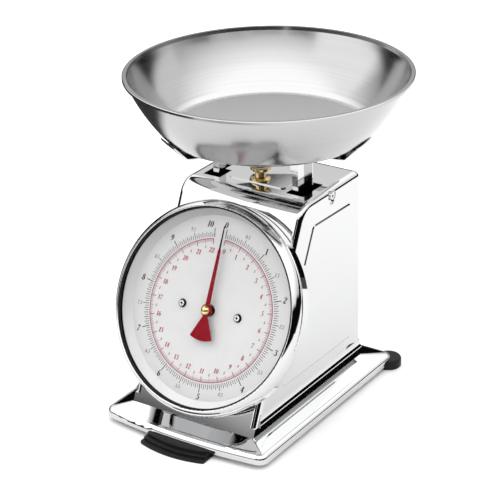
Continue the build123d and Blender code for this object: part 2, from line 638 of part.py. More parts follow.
def make_pointer():
    shaft_outline = [(0, -36.5), (SHAFT_RADIUS, -36.5), (SHAFT_RADIUS, POINTER_BACK + 3), (0, POINTER_BACK + 3)]
    save(revolved(shaft_outline, POINTER_SECTION, POINTER_AXIS), "pointer_shaft")
    tail = 26.5
    half_tail = math.radians(25)
    with BuildPart() as pointer:
        with BuildSketch(dial_plane(POINTER_BACK)):
            Circle(5.6)
            with BuildLine():
                Polyline((-2.3, 2), (-1.25, 52.0), (-0.7, 53.2), (-0.35, POINTER_TIP), (0.35, POINTER_TIP),
                         (0.7, 53.2), (1.25, 52.0), (2.3, 2), close=True)
            make_face()
            with BuildLine():
                Line((0, 0), (-tail * math.sin(half_tail), -tail * math.cos(half_tail)))
                ThreePointArc((-tail * math.sin(half_tail), -tail * math.cos(half_tail)), (0, -tail),
                              (tail * math.sin(half_tail), -tail * math.cos(half_tail)))
                Line((tail * math.sin(half_tail), -tail * math.cos(half_tail)), (0, 0))
            make_face()
            Circle(SHAFT_RADIUS, mode=Mode.SUBTRACT)
        extrude(amount=POINTER_SHEET)
        with BuildSketch(dial_plane(POINTER_BACK)):
            Circle(3.0)
            Circle(SHAFT_RADIUS, mode=Mode.SUBTRACT)
        extrude(amount=-3.6)
    save(pointer.part, "pointer")
    seat = POINTER_BACK + POINTER_SHEET
    shoulder = NUT_RADIUS * 0.6
    crown = NUT_TOP - NUT_DOME + dome(NUT_RADIUS, NUT_DOME, shoulder)
    with BuildPart() as pointer_nut:
        with BuildSketch(POINTER_SECTION):
            with BuildLine():
                Polyline((0, NUT_TOP), (0, POINTER_BACK + 3), (SHAFT_RADIUS, POINTER_BACK + 3),
                         (SHAFT_RADIUS, seat), (NUT_RADIUS, seat), (NUT_RADIUS, NUT_TOP - NUT_DOME))
                ThreePointArc((NUT_RADIUS, NUT_TOP - NUT_DOME), (shoulder, crown), (0, NUT_TOP))
            make_face()
        revolve(axis=POINTER_AXIS)
    save(pointer_nut.part, "pointer_nut")


# ---- dial housing --------------------------------------------------------------------------
SHAFT_OPENING = 12.0
DRUM_FRONT = 5.0
DIAL_SCREW_X = 28.5
GLASS_SEAT = 9.4
GLASS_THICK = 1.6
GLASS_RISE = 4.0
GASKET_RADIUS = 85.2        # inner edge of the gasket, just inside the bezel's lip
BEZEL_SHOULDER = 6.4        # height at which the sloping front meets the skirt
BEZEL_SLOPE = (90.9, 11.1)  # a point halfway up the sloping front
BEZEL_CREST = (87.9, 14.0)
BEZEL_LIP = (86.9, 13.7)
BEZEL_INNER = 86.6
BEZEL_BACK = 3.2            # rear edge of the skirt, with a rolled bead


def make_dial_drum():
    back = FACE_OFFSET
    outline = [(0, back), (DRUM_RADIUS - 1.5, back), (DRUM_RADIUS, back + 1.5), (DRUM_RADIUS, DRUM_FRONT),
               (DRUM_RADIUS - SHEET, DRUM_FRONT), (DRUM_RADIUS - SHEET, back + 1.9),
               (DRUM_RADIUS - 1.9, back + SHEET), (0, back + SHEET)]
    shell = revolved(outline, DRUM_SECTION, DRUM_AXIS)
    with BuildPart() as dial_drum:
        add(shell)
        with BuildSketch(dial_plane(back)):
            Circle(SHAFT_OPENING)
            with Locations((-DIAL_SCREW_X, 0), (DIAL_SCREW_X, 0)):
                Circle(1.6)
        extrude(amount=SHEET, mode=Mode.SUBTRACT)
    save(dial_drum.part, "dial_drum")
    with BuildPart() as drum_screws:
        spots = [(x, y) for x in (-46, 46) for y in (-52, 52)]
        with BuildSketch(drum_plane(back + SHEET)):
            with Locations(*spots):
                Circle(3.4)
        extrude(amount=1.8, taper=20)
    save(drum_screws.part, "drum_screws")
    with BuildPart() as dial_posts:
        with BuildSketch(dial_plane(back + SHEET)):
            with Locations((-DIAL_SCREW_X, 0), (DIAL_SCREW_X, 0)):
                Circle(4.0)
                Circle(1.6, mode=Mode.SUBTRACT)
        extrude(amount=-back - SHEET - 1.0)
    save(dial_posts.part, "dial_posts")


def make_dial():
    with BuildPart() as dial_plate:
        with BuildSketch(drum_plane(-1.0)):
            Circle(DRUM_RADIUS - SHEET - 0.2)
        extrude(amount=1.0)
        with BuildSketch(dial_plane(-1.0)):
            Circle(5.0)
            with Locations((-DIAL_SCREW_X, 0), (DIAL_SCREW_X, 0)):
                Circle(1.6)
        extrude(amount=1.0, mode=Mode.SUBTRACT)
    save(dial_plate.part, "dial_plate")
    with BuildPart() as dial_screws:
        for side in (-1, 1):
            with BuildSketch(dial_plane(FACE_OFFSET)):
                with Locations((side * DIAL_SCREW_X, 0)):
                    Circle(1.6)
            extrude(amount=-FACE_OFFSET)
            with BuildSketch(dial_plane(0)):
                with Locations((side * DIAL_SCREW_X, 0)):
                    Circle(3.9)
            extrude(amount=1.9, taper=24)
            cross = Plane(origin=DIAL_CENTRE + OUTWARD * 1.9 + Vector(side * DIAL_SCREW_X, 0, 0),
                          x_dir=(1, 0, 0), z_dir=OUTWARD)
            with BuildSketch(cross):
                Rectangle(3.6, 0.9)
                Rectangle(0.9, 3.6)
            extrude(amount=-1.1, mode=Mode.SUBTRACT)
    save(dial_screws.part, "dial_screws")
    reflector = [(79.8, 0), (80.8, 0), (87.3, 7.0), (90.2, 7.0), (90.2, 8.4), (86.5, 8.4), (86.0, 7.6)]
    save(revolved(reflector, DRUM_SECTION, DRUM_AXIS), "reflector_ring")


def make_glazing():
    edge = GLASS_SEAT + GLASS_THICK
    middle = GLASS_RADIUS / 2
    rise = dome(GLASS_RADIUS, GLASS_RISE, middle)
    with BuildPart() as dial_glass:
        with BuildSketch(DRUM_SECTION):
            with BuildLine():
                Polyline((0, edge + GLASS_RISE), (0, GLASS_SEAT + GLASS_RISE))
                ThreePointArc((0, GLASS_SEAT + GLASS_RISE),
                              (middle, GLASS_SEAT + rise), (GLASS_RADIUS, GLASS_SEAT))
                Line((GLASS_RADIUS, GLASS_SEAT), (GLASS_RADIUS, edge))
                ThreePointArc((GLASS_RADIUS, edge), (middle, edge + rise), (0, edge + GLASS_RISE))
            make_face()
        revolve(axis=DRUM_AXIS)
    save(dial_glass.part, "dial_glass")
    gasket = [(GASKET_RADIUS, 8.4), (89.4, 8.4), (89.4, 12.2), (GASKET_RADIUS, 12.2),
              (GASKET_RADIUS, edge + 0.3), (GLASS_RADIUS, edge + 0.3), (GLASS_RADIUS, GLASS_SEAT),
              (GASKET_RADIUS, GLASS_SEAT)]
    save(revolved(gasket, DRUM_SECTION, DRUM_AXIS), "glass_gasket")
    with BuildPart() as bezel_ring:
        with BuildSketch(DRUM_SECTION):
            with BuildLine():
                Line((DRUM_RADIUS, BEZEL_BACK), (BEZEL_RADIUS - 0.4, BEZEL_BACK))
                ThreePointArc((BEZEL_RADIUS - 0.4, BEZEL_BACK), (BEZEL_RADIUS + 0.5, BEZEL_BACK + 1.3),
                              (BEZEL_RADIUS, BEZEL_BACK + 2.6))
                Line((BEZEL_RADIUS, BEZEL_BACK + 2.6), (BEZEL_RADIUS, BEZEL_SHOULDER))
                ThreePointArc((BEZEL_RADIUS, BEZEL_SHOULDER), BEZEL_SLOPE, BEZEL_CREST)
                ThreePointArc(BEZEL_CREST, BEZEL_LIP, (BEZEL_INNER, 12.9))
                Polyline((BEZEL_INNER, 12.9), (BEZEL_INNER, 12.2), (89.4, 12.2), (89.4, 8.4), (90.2, 8.4),
                         (90.2, 7.0), (DRUM_RADIUS, DRUM_FRONT), (DRUM_RADIUS, BEZEL_BACK))
            make_face()
        revolve(axis=DRUM_AXIS)
    save(bezel_ring.part, "bezel_ring")


# ---- housing -------------------------------------------------------------------------------
SLOT_OUTER = 51.6
SLOT_FRONT = (34.0, -7.5, 11.5)     # inner edge, front and rear of the wide part
SLOT_REAR = (41.0, 24.5)            # inner edge and rear of the narrow part
PLATEAU_HALF = 28.5
PLATEAU_Y = (-2.0, 42.0)
SKIRT_TOP = 34.4
SKIRT_OUT = 65.4


def face_y(height, inset=0.0):
    """Y of the front face at a height, with the face moved inwards by an inset."""
    return FACE_TOP_Y - (BODY_TOP - height) * math.tan(LEAN) + inset / math.cos(LEAN)


def body_block(inset, bottom):
    """Solid of the housing's outline, every wall moved inwards by the inset."""
    top = BODY_TOP - inset
    rear = BODY_REAR - inset
    half = BODY_HALF_WIDTH - inset
    with BuildPart() as block:
        with BuildSketch(Plane.YZ.offset(-half)) as side_view:
            with BuildLine():
                Polyline((face_y(bottom, inset), bottom), (face_y(top, inset), top), (rear, top),
                         (rear, bottom), close=True)
            make_face()
            fillet(side_view.vertices().group_by(Axis.Y)[-1].sort_by(Axis.X)[-1], REAR_BEND - inset)
            fillet(side_view.vertices().group_by(Axis.Y)[-1].sort_by(Axis.X)[0], FACE_BEND - inset)
        extrude(amount=2 * half)
        rim = [e for f in (block.faces().sort_by(Axis.X)[0], block.faces().sort_by(Axis.X)[-1])
               for e in f.edges() if e.center().Z > bottom + 0.01]
        fillet(rim, EDGE_RADIUS - inset)
    return block.part


def side_prism(half):
    """Untrimmed side outline, used to clip the skirts to the leaning front."""
    with BuildPart() as prism:
        with BuildSketch(Plane.YZ.offset(-half)):
            with BuildLine():
                Polyline((face_y(BODY_FLOOR) + 4, BODY_FLOOR), (face_y(60) + 4, 60), (BODY_REAR - 2, 60),
                         (BODY_REAR - 2, BODY_FLOOR), close=True)
            make_face()
        extrude(amount=2 * half)
    return prism.part


def skirt(side):
    """Flared lower edge of a side wall."""
    wall = BODY_HALF_WIDTH - 0.2
    with BuildPart() as flare:
        with BuildSketch(Plane.XZ.offset(130)):
            with BuildLine():
                Line((side * wall, BODY_FLOOR), (side * wall, SKIRT_TOP + 0.4))
                Line((side * wall, SKIRT_TOP + 0.4), (side * BODY_HALF_WIDTH, SKIRT_TOP))
                ThreePointArc((side * BODY_HALF_WIDTH, SKIRT_TOP), (side * (BODY_HALF_WIDTH + 0.6), 30.6),
                              (side * (SKIRT_OUT - 0.2), 27.6))
                Line((side * (SKIRT_OUT - 0.2), 27.6), (side * SKIRT_OUT, 27.0))
                Line((side * SKIRT_OUT, 27.0), (side * SKIRT_OUT, BODY_FLOOR))
                Line((side * SKIRT_OUT, BODY_FLOOR), (side * wall, BODY_FLOOR))
            make_face()
        extrude(amount=-260)
    return flare.part


def emboss(side):
    """Raised field pressed in a side wall."""
    with BuildPart() as field:
        with BuildSketch(Plane.YZ.offset(side * BODY_HALF_WIDTH)) as outline:
            with BuildLine():
                Polyline((-64.0, 45.0), (-25.7, 146.8), (-10.8, 177.6), (52.5, 176.2), (54.5, 44.6), close=True)
            make_face()
            fillet(outline.vertices(), 5.0)
        extrude(amount=side * 0.8, taper=60)
    return field.part


def screw_cup(side, radius, depth_from, depth_to, tail):
    """Keyhole outline for the side screw's dimple, between two distances from the middle."""
    with BuildPart() as cup:
        with BuildSketch(Plane.YZ.offset(side * depth_from)):
            with Locations((SIDE_SCREW_Y, SIDE_SCREW_Z - 1)):
                Circle(radius)
            with Locations((SIDE_SCREW_Y, SIDE_SCREW_Z - 6)):
                Circle(radius - tail)
        extrude(amount=side * (depth_to - depth_from))
    return cup.part


def make_housing_cover():
    outer = body_block(0.0, BODY_FLOOR)
    inner = body_block(SHEET, BODY_FLOOR - 5)
    clip = side_prism(SKIRT_OUT + 1)
    with BuildPart() as housing_cover:
        add(outer)
        for side in (-1, 1):
            add(skirt(side) & clip)
            add(emboss(side))
        with BuildSketch(Plane.XY.offset(BODY_TOP - 2)):
            with Locations((0, sum(PLATEAU_Y) / 2)):
                RectangleRounded(2 * PLATEAU_HALF, PLATEAU_Y[1] - PLATEAU_Y[0], 4)
        extrude(amount=PLATEAU_TOP - BODY_TOP + 2)
        add(inner, mode=Mode.SUBTRACT)
        with BuildSketch(Plane.XY.offset(BODY_TOP - 3)):
            with Locations((0, sum(PLATEAU_Y) / 2)):
                RectangleRounded(2 * PLATEAU_HALF - 2, PLATEAU_Y[1] - PLATEAU_Y[0] - 2, 3)
        extrude(amount=PLATEAU_TOP - BODY_TOP + 3 - SHEET, mode=Mode.SUBTRACT)
        for side in (-1, 1):
            add(screw_cup(side, 7.0, BODY_HALF_WIDTH - 2.6, BODY_HALF_WIDTH - 0.9, 2.4) & outer)
            add(screw_cup(side, 6.0, BODY_HALF_WIDTH - 1.6, BODY_HALF_WIDTH + 1, 2.4), mode=Mode.SUBTRACT)
            with BuildSketch(Plane.YZ.offset(side * (BODY_HALF_WIDTH - 3))):
                with Locations((SIDE_SCREW_Y, SIDE_SCREW_Z - 1)):
                    Circle(1.7)
            extrude(amount=side * 3, mode=Mode.SUBTRACT)
            with BuildSketch(Plane.XY.offset(BODY_TOP - 4)):
                inner_x, front, step = SLOT_FRONT
                with BuildLine():
                    Polyline((side * inner_x, front), (side * SLOT_OUTER, front),
                             (side * SLOT_OUTER, SLOT_REAR[1]), (side * SLOT_REAR[0], SLOT_REAR[1]),
                             (side * SLOT_REAR[0], step), (side * inner_x, step), close=True)
                make_face()
            extrude(amount=6, mode=Mode.SUBTRACT)
        with BuildSketch(Plane.XY.offset(BODY_TOP - 4)):
            with Locations((0, LEG_MID_Y)):
                Circle(3.6)
        extrude(amount=10, mode=Mode.SUBTRACT)
        with BuildSketch(dial_plane(FACE_OFFSET + 1)):
            Circle(SHAFT_OPENING)
        extrude(amount=-4, mode=Mode.SUBTRACT)
        with BuildSketch(Plane.XZ.offset(-BODY_REAR - 1)):
            with Locations((0, 112)):
                RectangleRounded(90, 130, 6)
        extrude(amount=3, mode=Mode.SUBTRACT)
    save(housing_cover.part, "housing_cover")
    with BuildPart() as side_screws:
        for side in (-1, 1):
            with BuildSketch(Plane.YZ.offset(side * (CHASSIS_HALF - CHASSIS_SHEET))):
                with Locations((SIDE_SCREW_Y, SIDE_SCREW_Z - 1)):
                    Circle(1.7)
            extrude(amount=side * (BODY_HALF_WIDTH - 1.6 - CHASSIS_HALF + CHASSIS_SHEET))
            head = Plane(origin=(side * (BODY_HALF_WIDTH - 1.6), SIDE_SCREW_Y, SIDE_SCREW_Z - 1),
                         x_dir=(0, 1, 0), z_dir=(side, 0, 0))
            with BuildSketch(head):
                Circle(4.2)
            extrude(amount=2.4, taper=22)
            with BuildSketch(head.offset(2.4)):
                Rectangle(3.6, 0.9)
                Rectangle(0.9, 3.6)
            extrude(amount=-1.2, mode=Mode.SUBTRACT)
    save(side_screws.part, "side_screws")


def make_rear_cover():
    half_x, half_z, mid_z = 50.0, 70.0, 112.0
    corners = [(x, mid_z + z) for x in (-45.5, 45.5) for z in (-66, 66)]
    outside = Plane.XZ.offset(-BODY_REAR - SHEET)
    with BuildPart() as rear_cover:
        with BuildSketch(outside):
            with Locations((0, mid_z)):
                RectangleRounded(2 * half_x, 2 * half_z, 8)
            with Locations(*corners):
                Circle(1.6, mode=Mode.SUBTRACT)
        extrude(amount=SHEET)
        chamfer(rear_cover.edges().group_by(Axis.Y)[-1].filter_by(GeomType.LINE), 0.4)
    save(rear_cover.part, "rear_cover")
    with BuildPart() as rear_cover_screws:
        with BuildSketch(Plane.XZ.offset(-BODY_REAR)):
            with Locations(*corners):
                Circle(1.6)
        extrude(amount=-SHEET)
        with BuildSketch(outside):
            with Locations(*corners):
                Circle(3.2)
        extrude(amount=-1.6, taper=20)
        for x, z in corners:
            head = Plane(origin=(x, BODY_REAR + SHEET + 1.6, z), x_dir=(1, 0, 0), z_dir=(0, 1, 0))
            with BuildSketch(head):
                Rectangle(3.0, 0.7)
                Rectangle(0.7, 3.0)
            extrude(amount=-0.9, mode=Mode.SUBTRACT)
    save(rear_cover_screws.part, "rear_cover_screws")


# ---- base ----------------------------------------------------------------------------------
CORNER_RADIUS = 9.0
PEDESTAL_HALF = 62.9
PEDESTAL_REAR = 70.6
PLATE_BOTTOM = 6.0
FOOT_X = 78.8
FOOT_Y = 95.3
FOOT_RADIUS = 12.0
FOOT_SCREW = (68.0, 84.0)


def base_outline(height, inset):
    """Plan of the base with its bowed front edge."""
    half = BASE_HALF_WIDTH - inset
    rear = BASE_REAR - inset
    front = BASE_FRONT + inset
    corner = BASE_FRONT_CORNER + inset
    with BuildSketch(Plane.XY.offset(height)) as plan:
        with BuildLine():
            Polyline((-half, corner), (-half, rear), (half, rear), (half, corner))
            ThreePointArc((half, corner), (0, front), (-half, corner))
        make_face()
        fillet(plan.vertices(), CORNER_RADIUS - inset)
    return plan.sketch


def pedestal_outline(height, inset):
    half = PEDESTAL_HALF - inset
    rear = PEDESTAL_REAR - inset
    front = face_y(BAND_INNER) + inset
    with BuildSketch(Plane.XY.offset(height)) as plan:
        with Locations((0, (rear + front) / 2)):
            RectangleRounded(2 * half, rear - front, 3.0)
    return plan.sketch


def base_shape(inset, bottom):
    """Lip, rounded edge, rising band and pedestal as one solid, moved inwards by the inset."""
    shoulder = BAND_OUTER - 0.6 - inset
    with BuildPart() as lower:
        add(base_outline(bottom, inset))
        extrude(amount=shoulder - bottom)
        fillet(lower.edges().group_by(Axis.Z)[-1], 4.6 - inset)
    with BuildPart() as band:
        add(base_outline(shoulder, 4.6))
        add(pedestal_outline(BAND_INNER - inset, inset))
        loft(ruled=True)
    with BuildPart() as pedestal:
        with BuildSketch(Plane.YZ.offset(-PEDESTAL_HALF + inset)):
            low = BAND_INNER - inset - 1.0
            high = BODY_FLOOR - inset
            with BuildLine():
                Polyline((face_y(low, inset), low), (face_y(high, inset), high),
                         (PEDESTAL_REAR - inset, high), (PEDESTAL_REAR - inset, low), close=True)
            make_face()
        extrude(amount=2 * (PEDESTAL_HALF - inset))
    return lower.part + band.part + pedestal.part


def make_base():
    with BuildPart() as base_tray:
        add(base_shape(0.0, LIP_BOTTOM))
        add(base_shape(SHEET, LIP_BOTTOM - 2), mode=Mode.SUBTRACT)
    save(base_tray.part, "base_tray")
    screw_spots = [(x, y) for x in (-50, 50) for y in (-100, 60)]
    with BuildPart() as base_plate:
        add(base_outline(PLATE_BOTTOM, SHEET + 0.3))
        extrude(amount=1.2)
        with BuildSketch(Plane.XY.offset(PLATE_BOTTOM)):
            with Locations(*screw_spots, (-FOOT_SCREW[0], FOOT_SCREW[1]), FOOT_SCREW, (-20, -122), (20, -122)):
                Circle(1.8)
        extrude(amount=1.2, mode=Mode.SUBTRACT)
    save(base_plate.part, "base_plate")
    with BuildPart() as base_plate_posts:
        with BuildSketch(Plane.XY.offset(PLATE_BOTTOM + 1.2)):
            with Locations(*screw_spots):
                Circle(3.5)
        extrude(amount=BAND_OUTER - 1.6 - PLATE_BOTTOM - 1.2 - 0.4)
    save(base_plate_posts.part, "base_plate_posts")
    with BuildPart() as base_plate_screws:
        with BuildSketch(Plane.XY.offset(PLATE_BOTTOM)):
            with Locations(*screw_spots):
                Circle(1.8)
        extrude(amount=1.2)
        with BuildSketch(Plane.XY.offset(PLATE_BOTTOM)):
            with Locations(*screw_spots):
                Circle(3.4)
        extrude(amount=-1.6, taper=15)
    save(base_plate_screws.part, "base_plate_screws")


def rear_foot(side):
    """Round rubber bumper that hooks round the corner of the lip, with an ear for its screw."""
    clear = base_outline(LIP_BOTTOM, 0.0)
    with BuildPart() as keep_out:
        add(clear)
        extrude(amount=20)
    with BuildPart() as foot:
        with BuildSketch():
            with Locations((side * FOOT_X, FOOT_Y)):
                Circle(FOOT_RADIUS)
        extrude(amount=9.4)
        fillet(foot.edges().group_by(Axis.Z)[-1], 2.6)
        fillet(foot.edges().group_by(Axis.Z)[0], 1.2)
        with BuildSketch():
            with Locations((side * FOOT_SCREW[0], FOOT_SCREW[1])):
                Circle(8.0)
        extrude(amount=LIP_BOTTOM)
        add(keep_out.part, mode=Mode.SUBTRACT)
        with BuildSketch(Plane.XY.offset(LIP_BOTTOM)):
            with Locations((side * FOOT_SCREW[0], FOOT_SCREW[1])):
                Circle(6.0)
        extrude(amount=PLATE_BOTTOM - LIP_BOTTOM)
        with BuildSketch():
            with Locations((side * FOOT_SCREW[0], FOOT_SCREW[1])):
                Circle(3.6)
        extrude(amount=3.0, mode=Mode.SUBTRACT)
        with BuildSketch():
            with Locations((side * FOOT_SCREW[0], FOOT_SCREW[1])):
                Circle(1.8)
        extrude(amount=PLATE_BOTTOM, mode=Mode.SUBTRACT)
    return foot.part


FRONT_FOOT_HALF = 33.0
FRONT_FOOT_TREADS = [(-145.5, 0.0, 2.6), (-141.4, 2.6, 5.0), (-137.2, 5.0, 7.6)]
FRONT_FOOT_BOW = 5.6


def make_front_foot():
    """Wide stepped rubber foot under the front edge, bowed like the edge but more strongly."""
    with BuildPart() as keep_out:
        add(base_outline(LIP_BOTTOM, 0.0))
        extrude(amount=20)
    with BuildPart() as front_foot:
        for index, (front, low, high) in enumerate(FRONT_FOOT_TREADS):
            half = FRONT_FOOT_HALF - 0.8 * index
            with BuildSketch(Plane.XY.offset(low)) as tread:
                with BuildLine():
                    ThreePointArc((-half, front + FRONT_FOOT_BOW), (0, front), (half, front + FRONT_FOOT_BOW))
                    Polyline((half, front + FRONT_FOOT_BOW), (half, -112), (-half, -112),
                             (-half, front + FRONT_FOOT_BOW))
                make_face()
                fillet(tread.vertices().group_by(Axis.Y)[0], 2.0)
            extrude(amount=high - low)
            fillet(front_foot.edges().group_by(Axis.Z)[-1].filter_by(
                lambda e: e.center().Y < -120), 0.7)
        add(keep_out.part, mode=Mode.SUBTRACT)
        with BuildSketch(Plane.XY.offset(LIP_BOTTOM)):
            with Locations((-20, -122), (20, -122)):
                Circle(4.0)
        extrude(amount=PLATE_BOTTOM - LIP_BOTTOM)
        with BuildSketch():
            with Locations((-20, -122), (20, -122)):
                Circle(3.6)
        extrude(amount=3.0, mode=Mode.SUBTRACT)
        with BuildSketch():
            with Locations((-20, -122), (20, -122)):
                Circle(1.8)
        extrude(amount=PLATE_BOTTOM, mode=Mode.SUBTRACT)
    save(front_foot.part, "front_foot")


def make_feet():
    save(rear_foot(-1), "left_rear_foot")
    save(rear_foot(1), "right_rear_foot")
    make_front_foot()
    spots = [(-FOOT_SCREW[0], FOOT_SCREW[1]), FOOT_SCREW, (-20, -122), (20, -122)]
    with BuildPart() as foot_screws:
        with BuildSketch(Plane.XY.offset(1.2)):
            with Locations(*spots):
                Circle(3.6)
        extrude(amount=1.8)
        with BuildSketch(Plane.XY.offset(3.0)):
            with Locations(*spots):
                Circle(1.8)
        extrude(amount=PLATE_BOTTOM + 1.2 - 3.0)
    save(foot_screws.part, "foot_screws")


os.makedirs("parts", exist_ok=True)
make_bowl()
make_pan_support()
make_legs()
make_leg_rivets()
make_crossbar()
make_springs()
make_hanger()
make_leg_pins()
make_levers()
make_chassis()
make_adjuster()
make_pinion()
make_rack()
make_gear_bracket()
make_pointer()
make_dial_drum()
make_dial()
make_glazing()
make_housing_cover()
make_rear_cover()
make_base()
make_feet()
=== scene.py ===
import json
import math

import bmesh
import bpy
from mathutils import Matrix, Vector


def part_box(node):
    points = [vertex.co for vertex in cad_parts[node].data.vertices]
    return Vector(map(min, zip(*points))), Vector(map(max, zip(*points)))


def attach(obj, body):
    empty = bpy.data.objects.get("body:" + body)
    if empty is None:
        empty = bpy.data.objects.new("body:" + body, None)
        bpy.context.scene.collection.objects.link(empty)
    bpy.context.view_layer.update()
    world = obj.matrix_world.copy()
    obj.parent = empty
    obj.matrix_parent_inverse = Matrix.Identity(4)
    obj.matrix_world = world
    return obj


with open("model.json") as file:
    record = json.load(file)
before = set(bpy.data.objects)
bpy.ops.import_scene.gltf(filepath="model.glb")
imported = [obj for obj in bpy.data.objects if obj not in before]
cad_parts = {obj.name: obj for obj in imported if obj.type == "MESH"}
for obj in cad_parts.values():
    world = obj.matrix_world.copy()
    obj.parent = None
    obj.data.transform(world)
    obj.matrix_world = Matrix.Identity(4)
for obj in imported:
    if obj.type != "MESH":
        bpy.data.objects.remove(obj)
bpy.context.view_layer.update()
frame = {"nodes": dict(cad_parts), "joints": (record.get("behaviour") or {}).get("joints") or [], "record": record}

MM = 0.001
NODES = frame["nodes"]
JOINTS = {joint["name"]: joint for joint in frame["joints"]}

# The dial's own frame: centre on the pointer's axis, x to the right, y up the slope, height outwards.
DIAL_CENTRE = Vector(JOINTS["pointer_spin"]["pos_m"])
OUTWARD = -Vector(JOINTS["pointer_spin"]["axis"]).normalized()
ACROSS = Vector((1.0, 0.0, 0.0))
UPSLOPE = OUTWARD.cross(ACROSS)
DIAL_SCREW_X = 28.5 * MM
DIAL_SCREW_SHADE_TOP = (1.55 * MM, 1.85 * MM)     # painted shade: the screw heads turn from black to bright between these heights
DIAL_SCREW_SHADE_RIM = (2.3 * MM, 2.7 * MM)       # and back to black painted shade between these radii
POINTER_BLACK = (50.5 * MM, 53.5 * MM)      # the pointer's red turns black between these radii
REFLECTOR_SHADE_SPAN = (-75.0 * MM, 90.0 * MM)    # painted shade: the reflector's colour darkens over this stretch up the slope
DIAL_FACE = max((vertex.co - DIAL_CENTRE).dot(OUTWARD) for vertex in NODES["dial_plate"].data.vertices)
BOWL_LOW, BOWL_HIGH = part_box("bowl")
BOWL_CENTRE = (BOWL_LOW + BOWL_HIGH) / 2
BOWL_SHEET = 0.9 * MM
BOWL_FLOOR_RADIUS = 84.5 * MM
ORIGIN = (0.0, 0.0, 0.0)
RIGHT = (1.0, 0.0, 0.0)
REAR = (0.0, 1.0, 0.0)
UP = (0.0, 0.0, 1.0)
LEVEL = (1.0, 1.0, 0.0)                     # times a vector, leaves its level part


# ---- node helpers --------------------------------------------------------------------------
class Nodes:
    """A node tree with short calls for the nodes that the materials and the world use."""

    def __init__(self, tree):
        self.tree = tree

    def link(self, output, target):
        self.tree.links.new(output, target)

    def vector(self, operation, first, second):
        node = self.tree.nodes.new("ShaderNodeVectorMath")
        node.operation = operation
        for socket, value in zip(node.inputs, (first, second)):
            if isinstance(value, (tuple, Vector)):
                socket.default_value = value
            else:
                self.link(value, socket)
        return node.outputs["Value"] if operation in ("DOT_PRODUCT", "LENGTH") else node.outputs["Vector"]

    def math(self, operation, first, second=0.0):
        node = self.tree.nodes.new("ShaderNodeMath")
        node.operation = operation
        for socket, value in zip(node.inputs, (first, second)):
            if isinstance(value, (int, float)):
                socket.default_value = value
            else:
                self.link(value, socket)
        return node.outputs[0]

    def combine(self, x, y, z):
        node = self.tree.nodes.new("ShaderNodeCombineXYZ")
        for socket, value in zip(node.inputs, (x, y, z)):
            if isinstance(value, (int, float)):
                socket.default_value = value
            else:
                self.link(value, socket)
        return node.outputs[0]

    def noise(self, vector, scale, detail=2.0, rough=0.5):
        node = self.tree.nodes.new("ShaderNodeTexNoise")
        node.inputs["Scale"].default_value = scale
        node.inputs["Detail"].default_value = detail
        node.inputs["Roughness"].default_value = rough
        self.link(vector, node.inputs["Vector"])
        return node.outputs["Fac"]

    def remap(self, value, low, high, to_low, to_high):
        node = self.tree.nodes.new("ShaderNodeMapRange")
        for name, number in (("From Min", low), ("From Max", high),
                             ("To Min", to_low), ("To Max", to_high)):
            node.inputs[name].default_value = number
        self.link(value, node.inputs["Value"])
        return node.outputs["Result"]

    def colours(self, factor, stops):
        node = self.tree.nodes.new("ShaderNodeValToRGB")
        ramp = node.color_ramp
        while len(ramp.elements) < len(stops):
            ramp.elements.new(0.5)
        for element, (place, colour) in zip(ramp.elements, stops):
            element.position = place
            element.color = (*colour, 1.0)
        self.link(factor, node.inputs["Fac"])
        return node.outputs["Color"]

    def bump(self, height, strength, distance, below=None):
        node = self.tree.nodes.new("ShaderNodeBump")
        node.inputs["Strength"].default_value = strength
        node.inputs["Distance"].default_value = distance
        self.link(height, node.inputs["Height"])
        if below is not None:
            self.link(below, node.inputs["Normal"])
        return node.outputs["Normal"]

    def window(self, value, begin, full, keep, end):
        """One between full and keep, fading to zero at begin and end."""
        return self.math("MULTIPLY", self.remap(value, begin, full, 0.0, 1.0),
                         self.remap(value, keep, end, 1.0, 0.0))


class Shader(Nodes):
    """A principled material and its node tree; position is the place in the piece's own frame."""

    def __init__(self, name, colour, roughness, metallic=0.0):
        self.material = bpy.data.materials.new(name)
        self.material.use_nodes = True
        super().__init__(self.material.node_tree)
        self.surface = self.tree.nodes["Principled BSDF"]
        self.surface.inputs["Base Color"].default_value = (*colour, 1.0)
        self.surface.inputs["Roughness"].default_value = roughness
        self.surface.inputs["Metallic"].default_value = metallic
        self.position = self.tree.nodes.new("ShaderNodeTexCoord").outputs["Object"]

    def set(self, name, value):
        self.surface.inputs[name].default_value = value

    def feed(self, name, output):
        self.link(output, self.surface.inputs[name])


# ---- materials -----------------------------------------------------------------------------
NOISE_SPAN = (0.3, 0.7)     # nearly all of a noise texture's values lie between these


def polished_steel(name, colour, roughness, wave):
    """Mirror-polished sheet: faint haze, hairline polishing marks and the sheet's own slight waviness."""
    shader = Shader(name, colour, roughness, metallic=1.0)
    haze = shader.noise(shader.position, 38.0, 3.0)
    shader.feed("Roughness", shader.remap(haze, *NOISE_SPAN, roughness * 0.6, roughness * 1.5))
    tint = shader.noise(shader.position, 12.0, 2.0)
    dark = tuple(channel * 0.96 for channel in colour)
    shader.feed("Base Color", shader.colours(tint, [(0.3, dark), (0.7, colour)]))
    swell = shader.noise(shader.position, 26.0, 0.0)
    hairs = shader.noise(shader.vector("MULTIPLY", shader.position, (90.0, 90.0, 2600.0)), 1.0, 2.0)
    wavy = shader.bump(swell, wave, 0.6 * MM)
    shader.feed("Normal", shader.bump(hairs, 0.05, 0.02 * MM, below=wavy))
    return shader.material


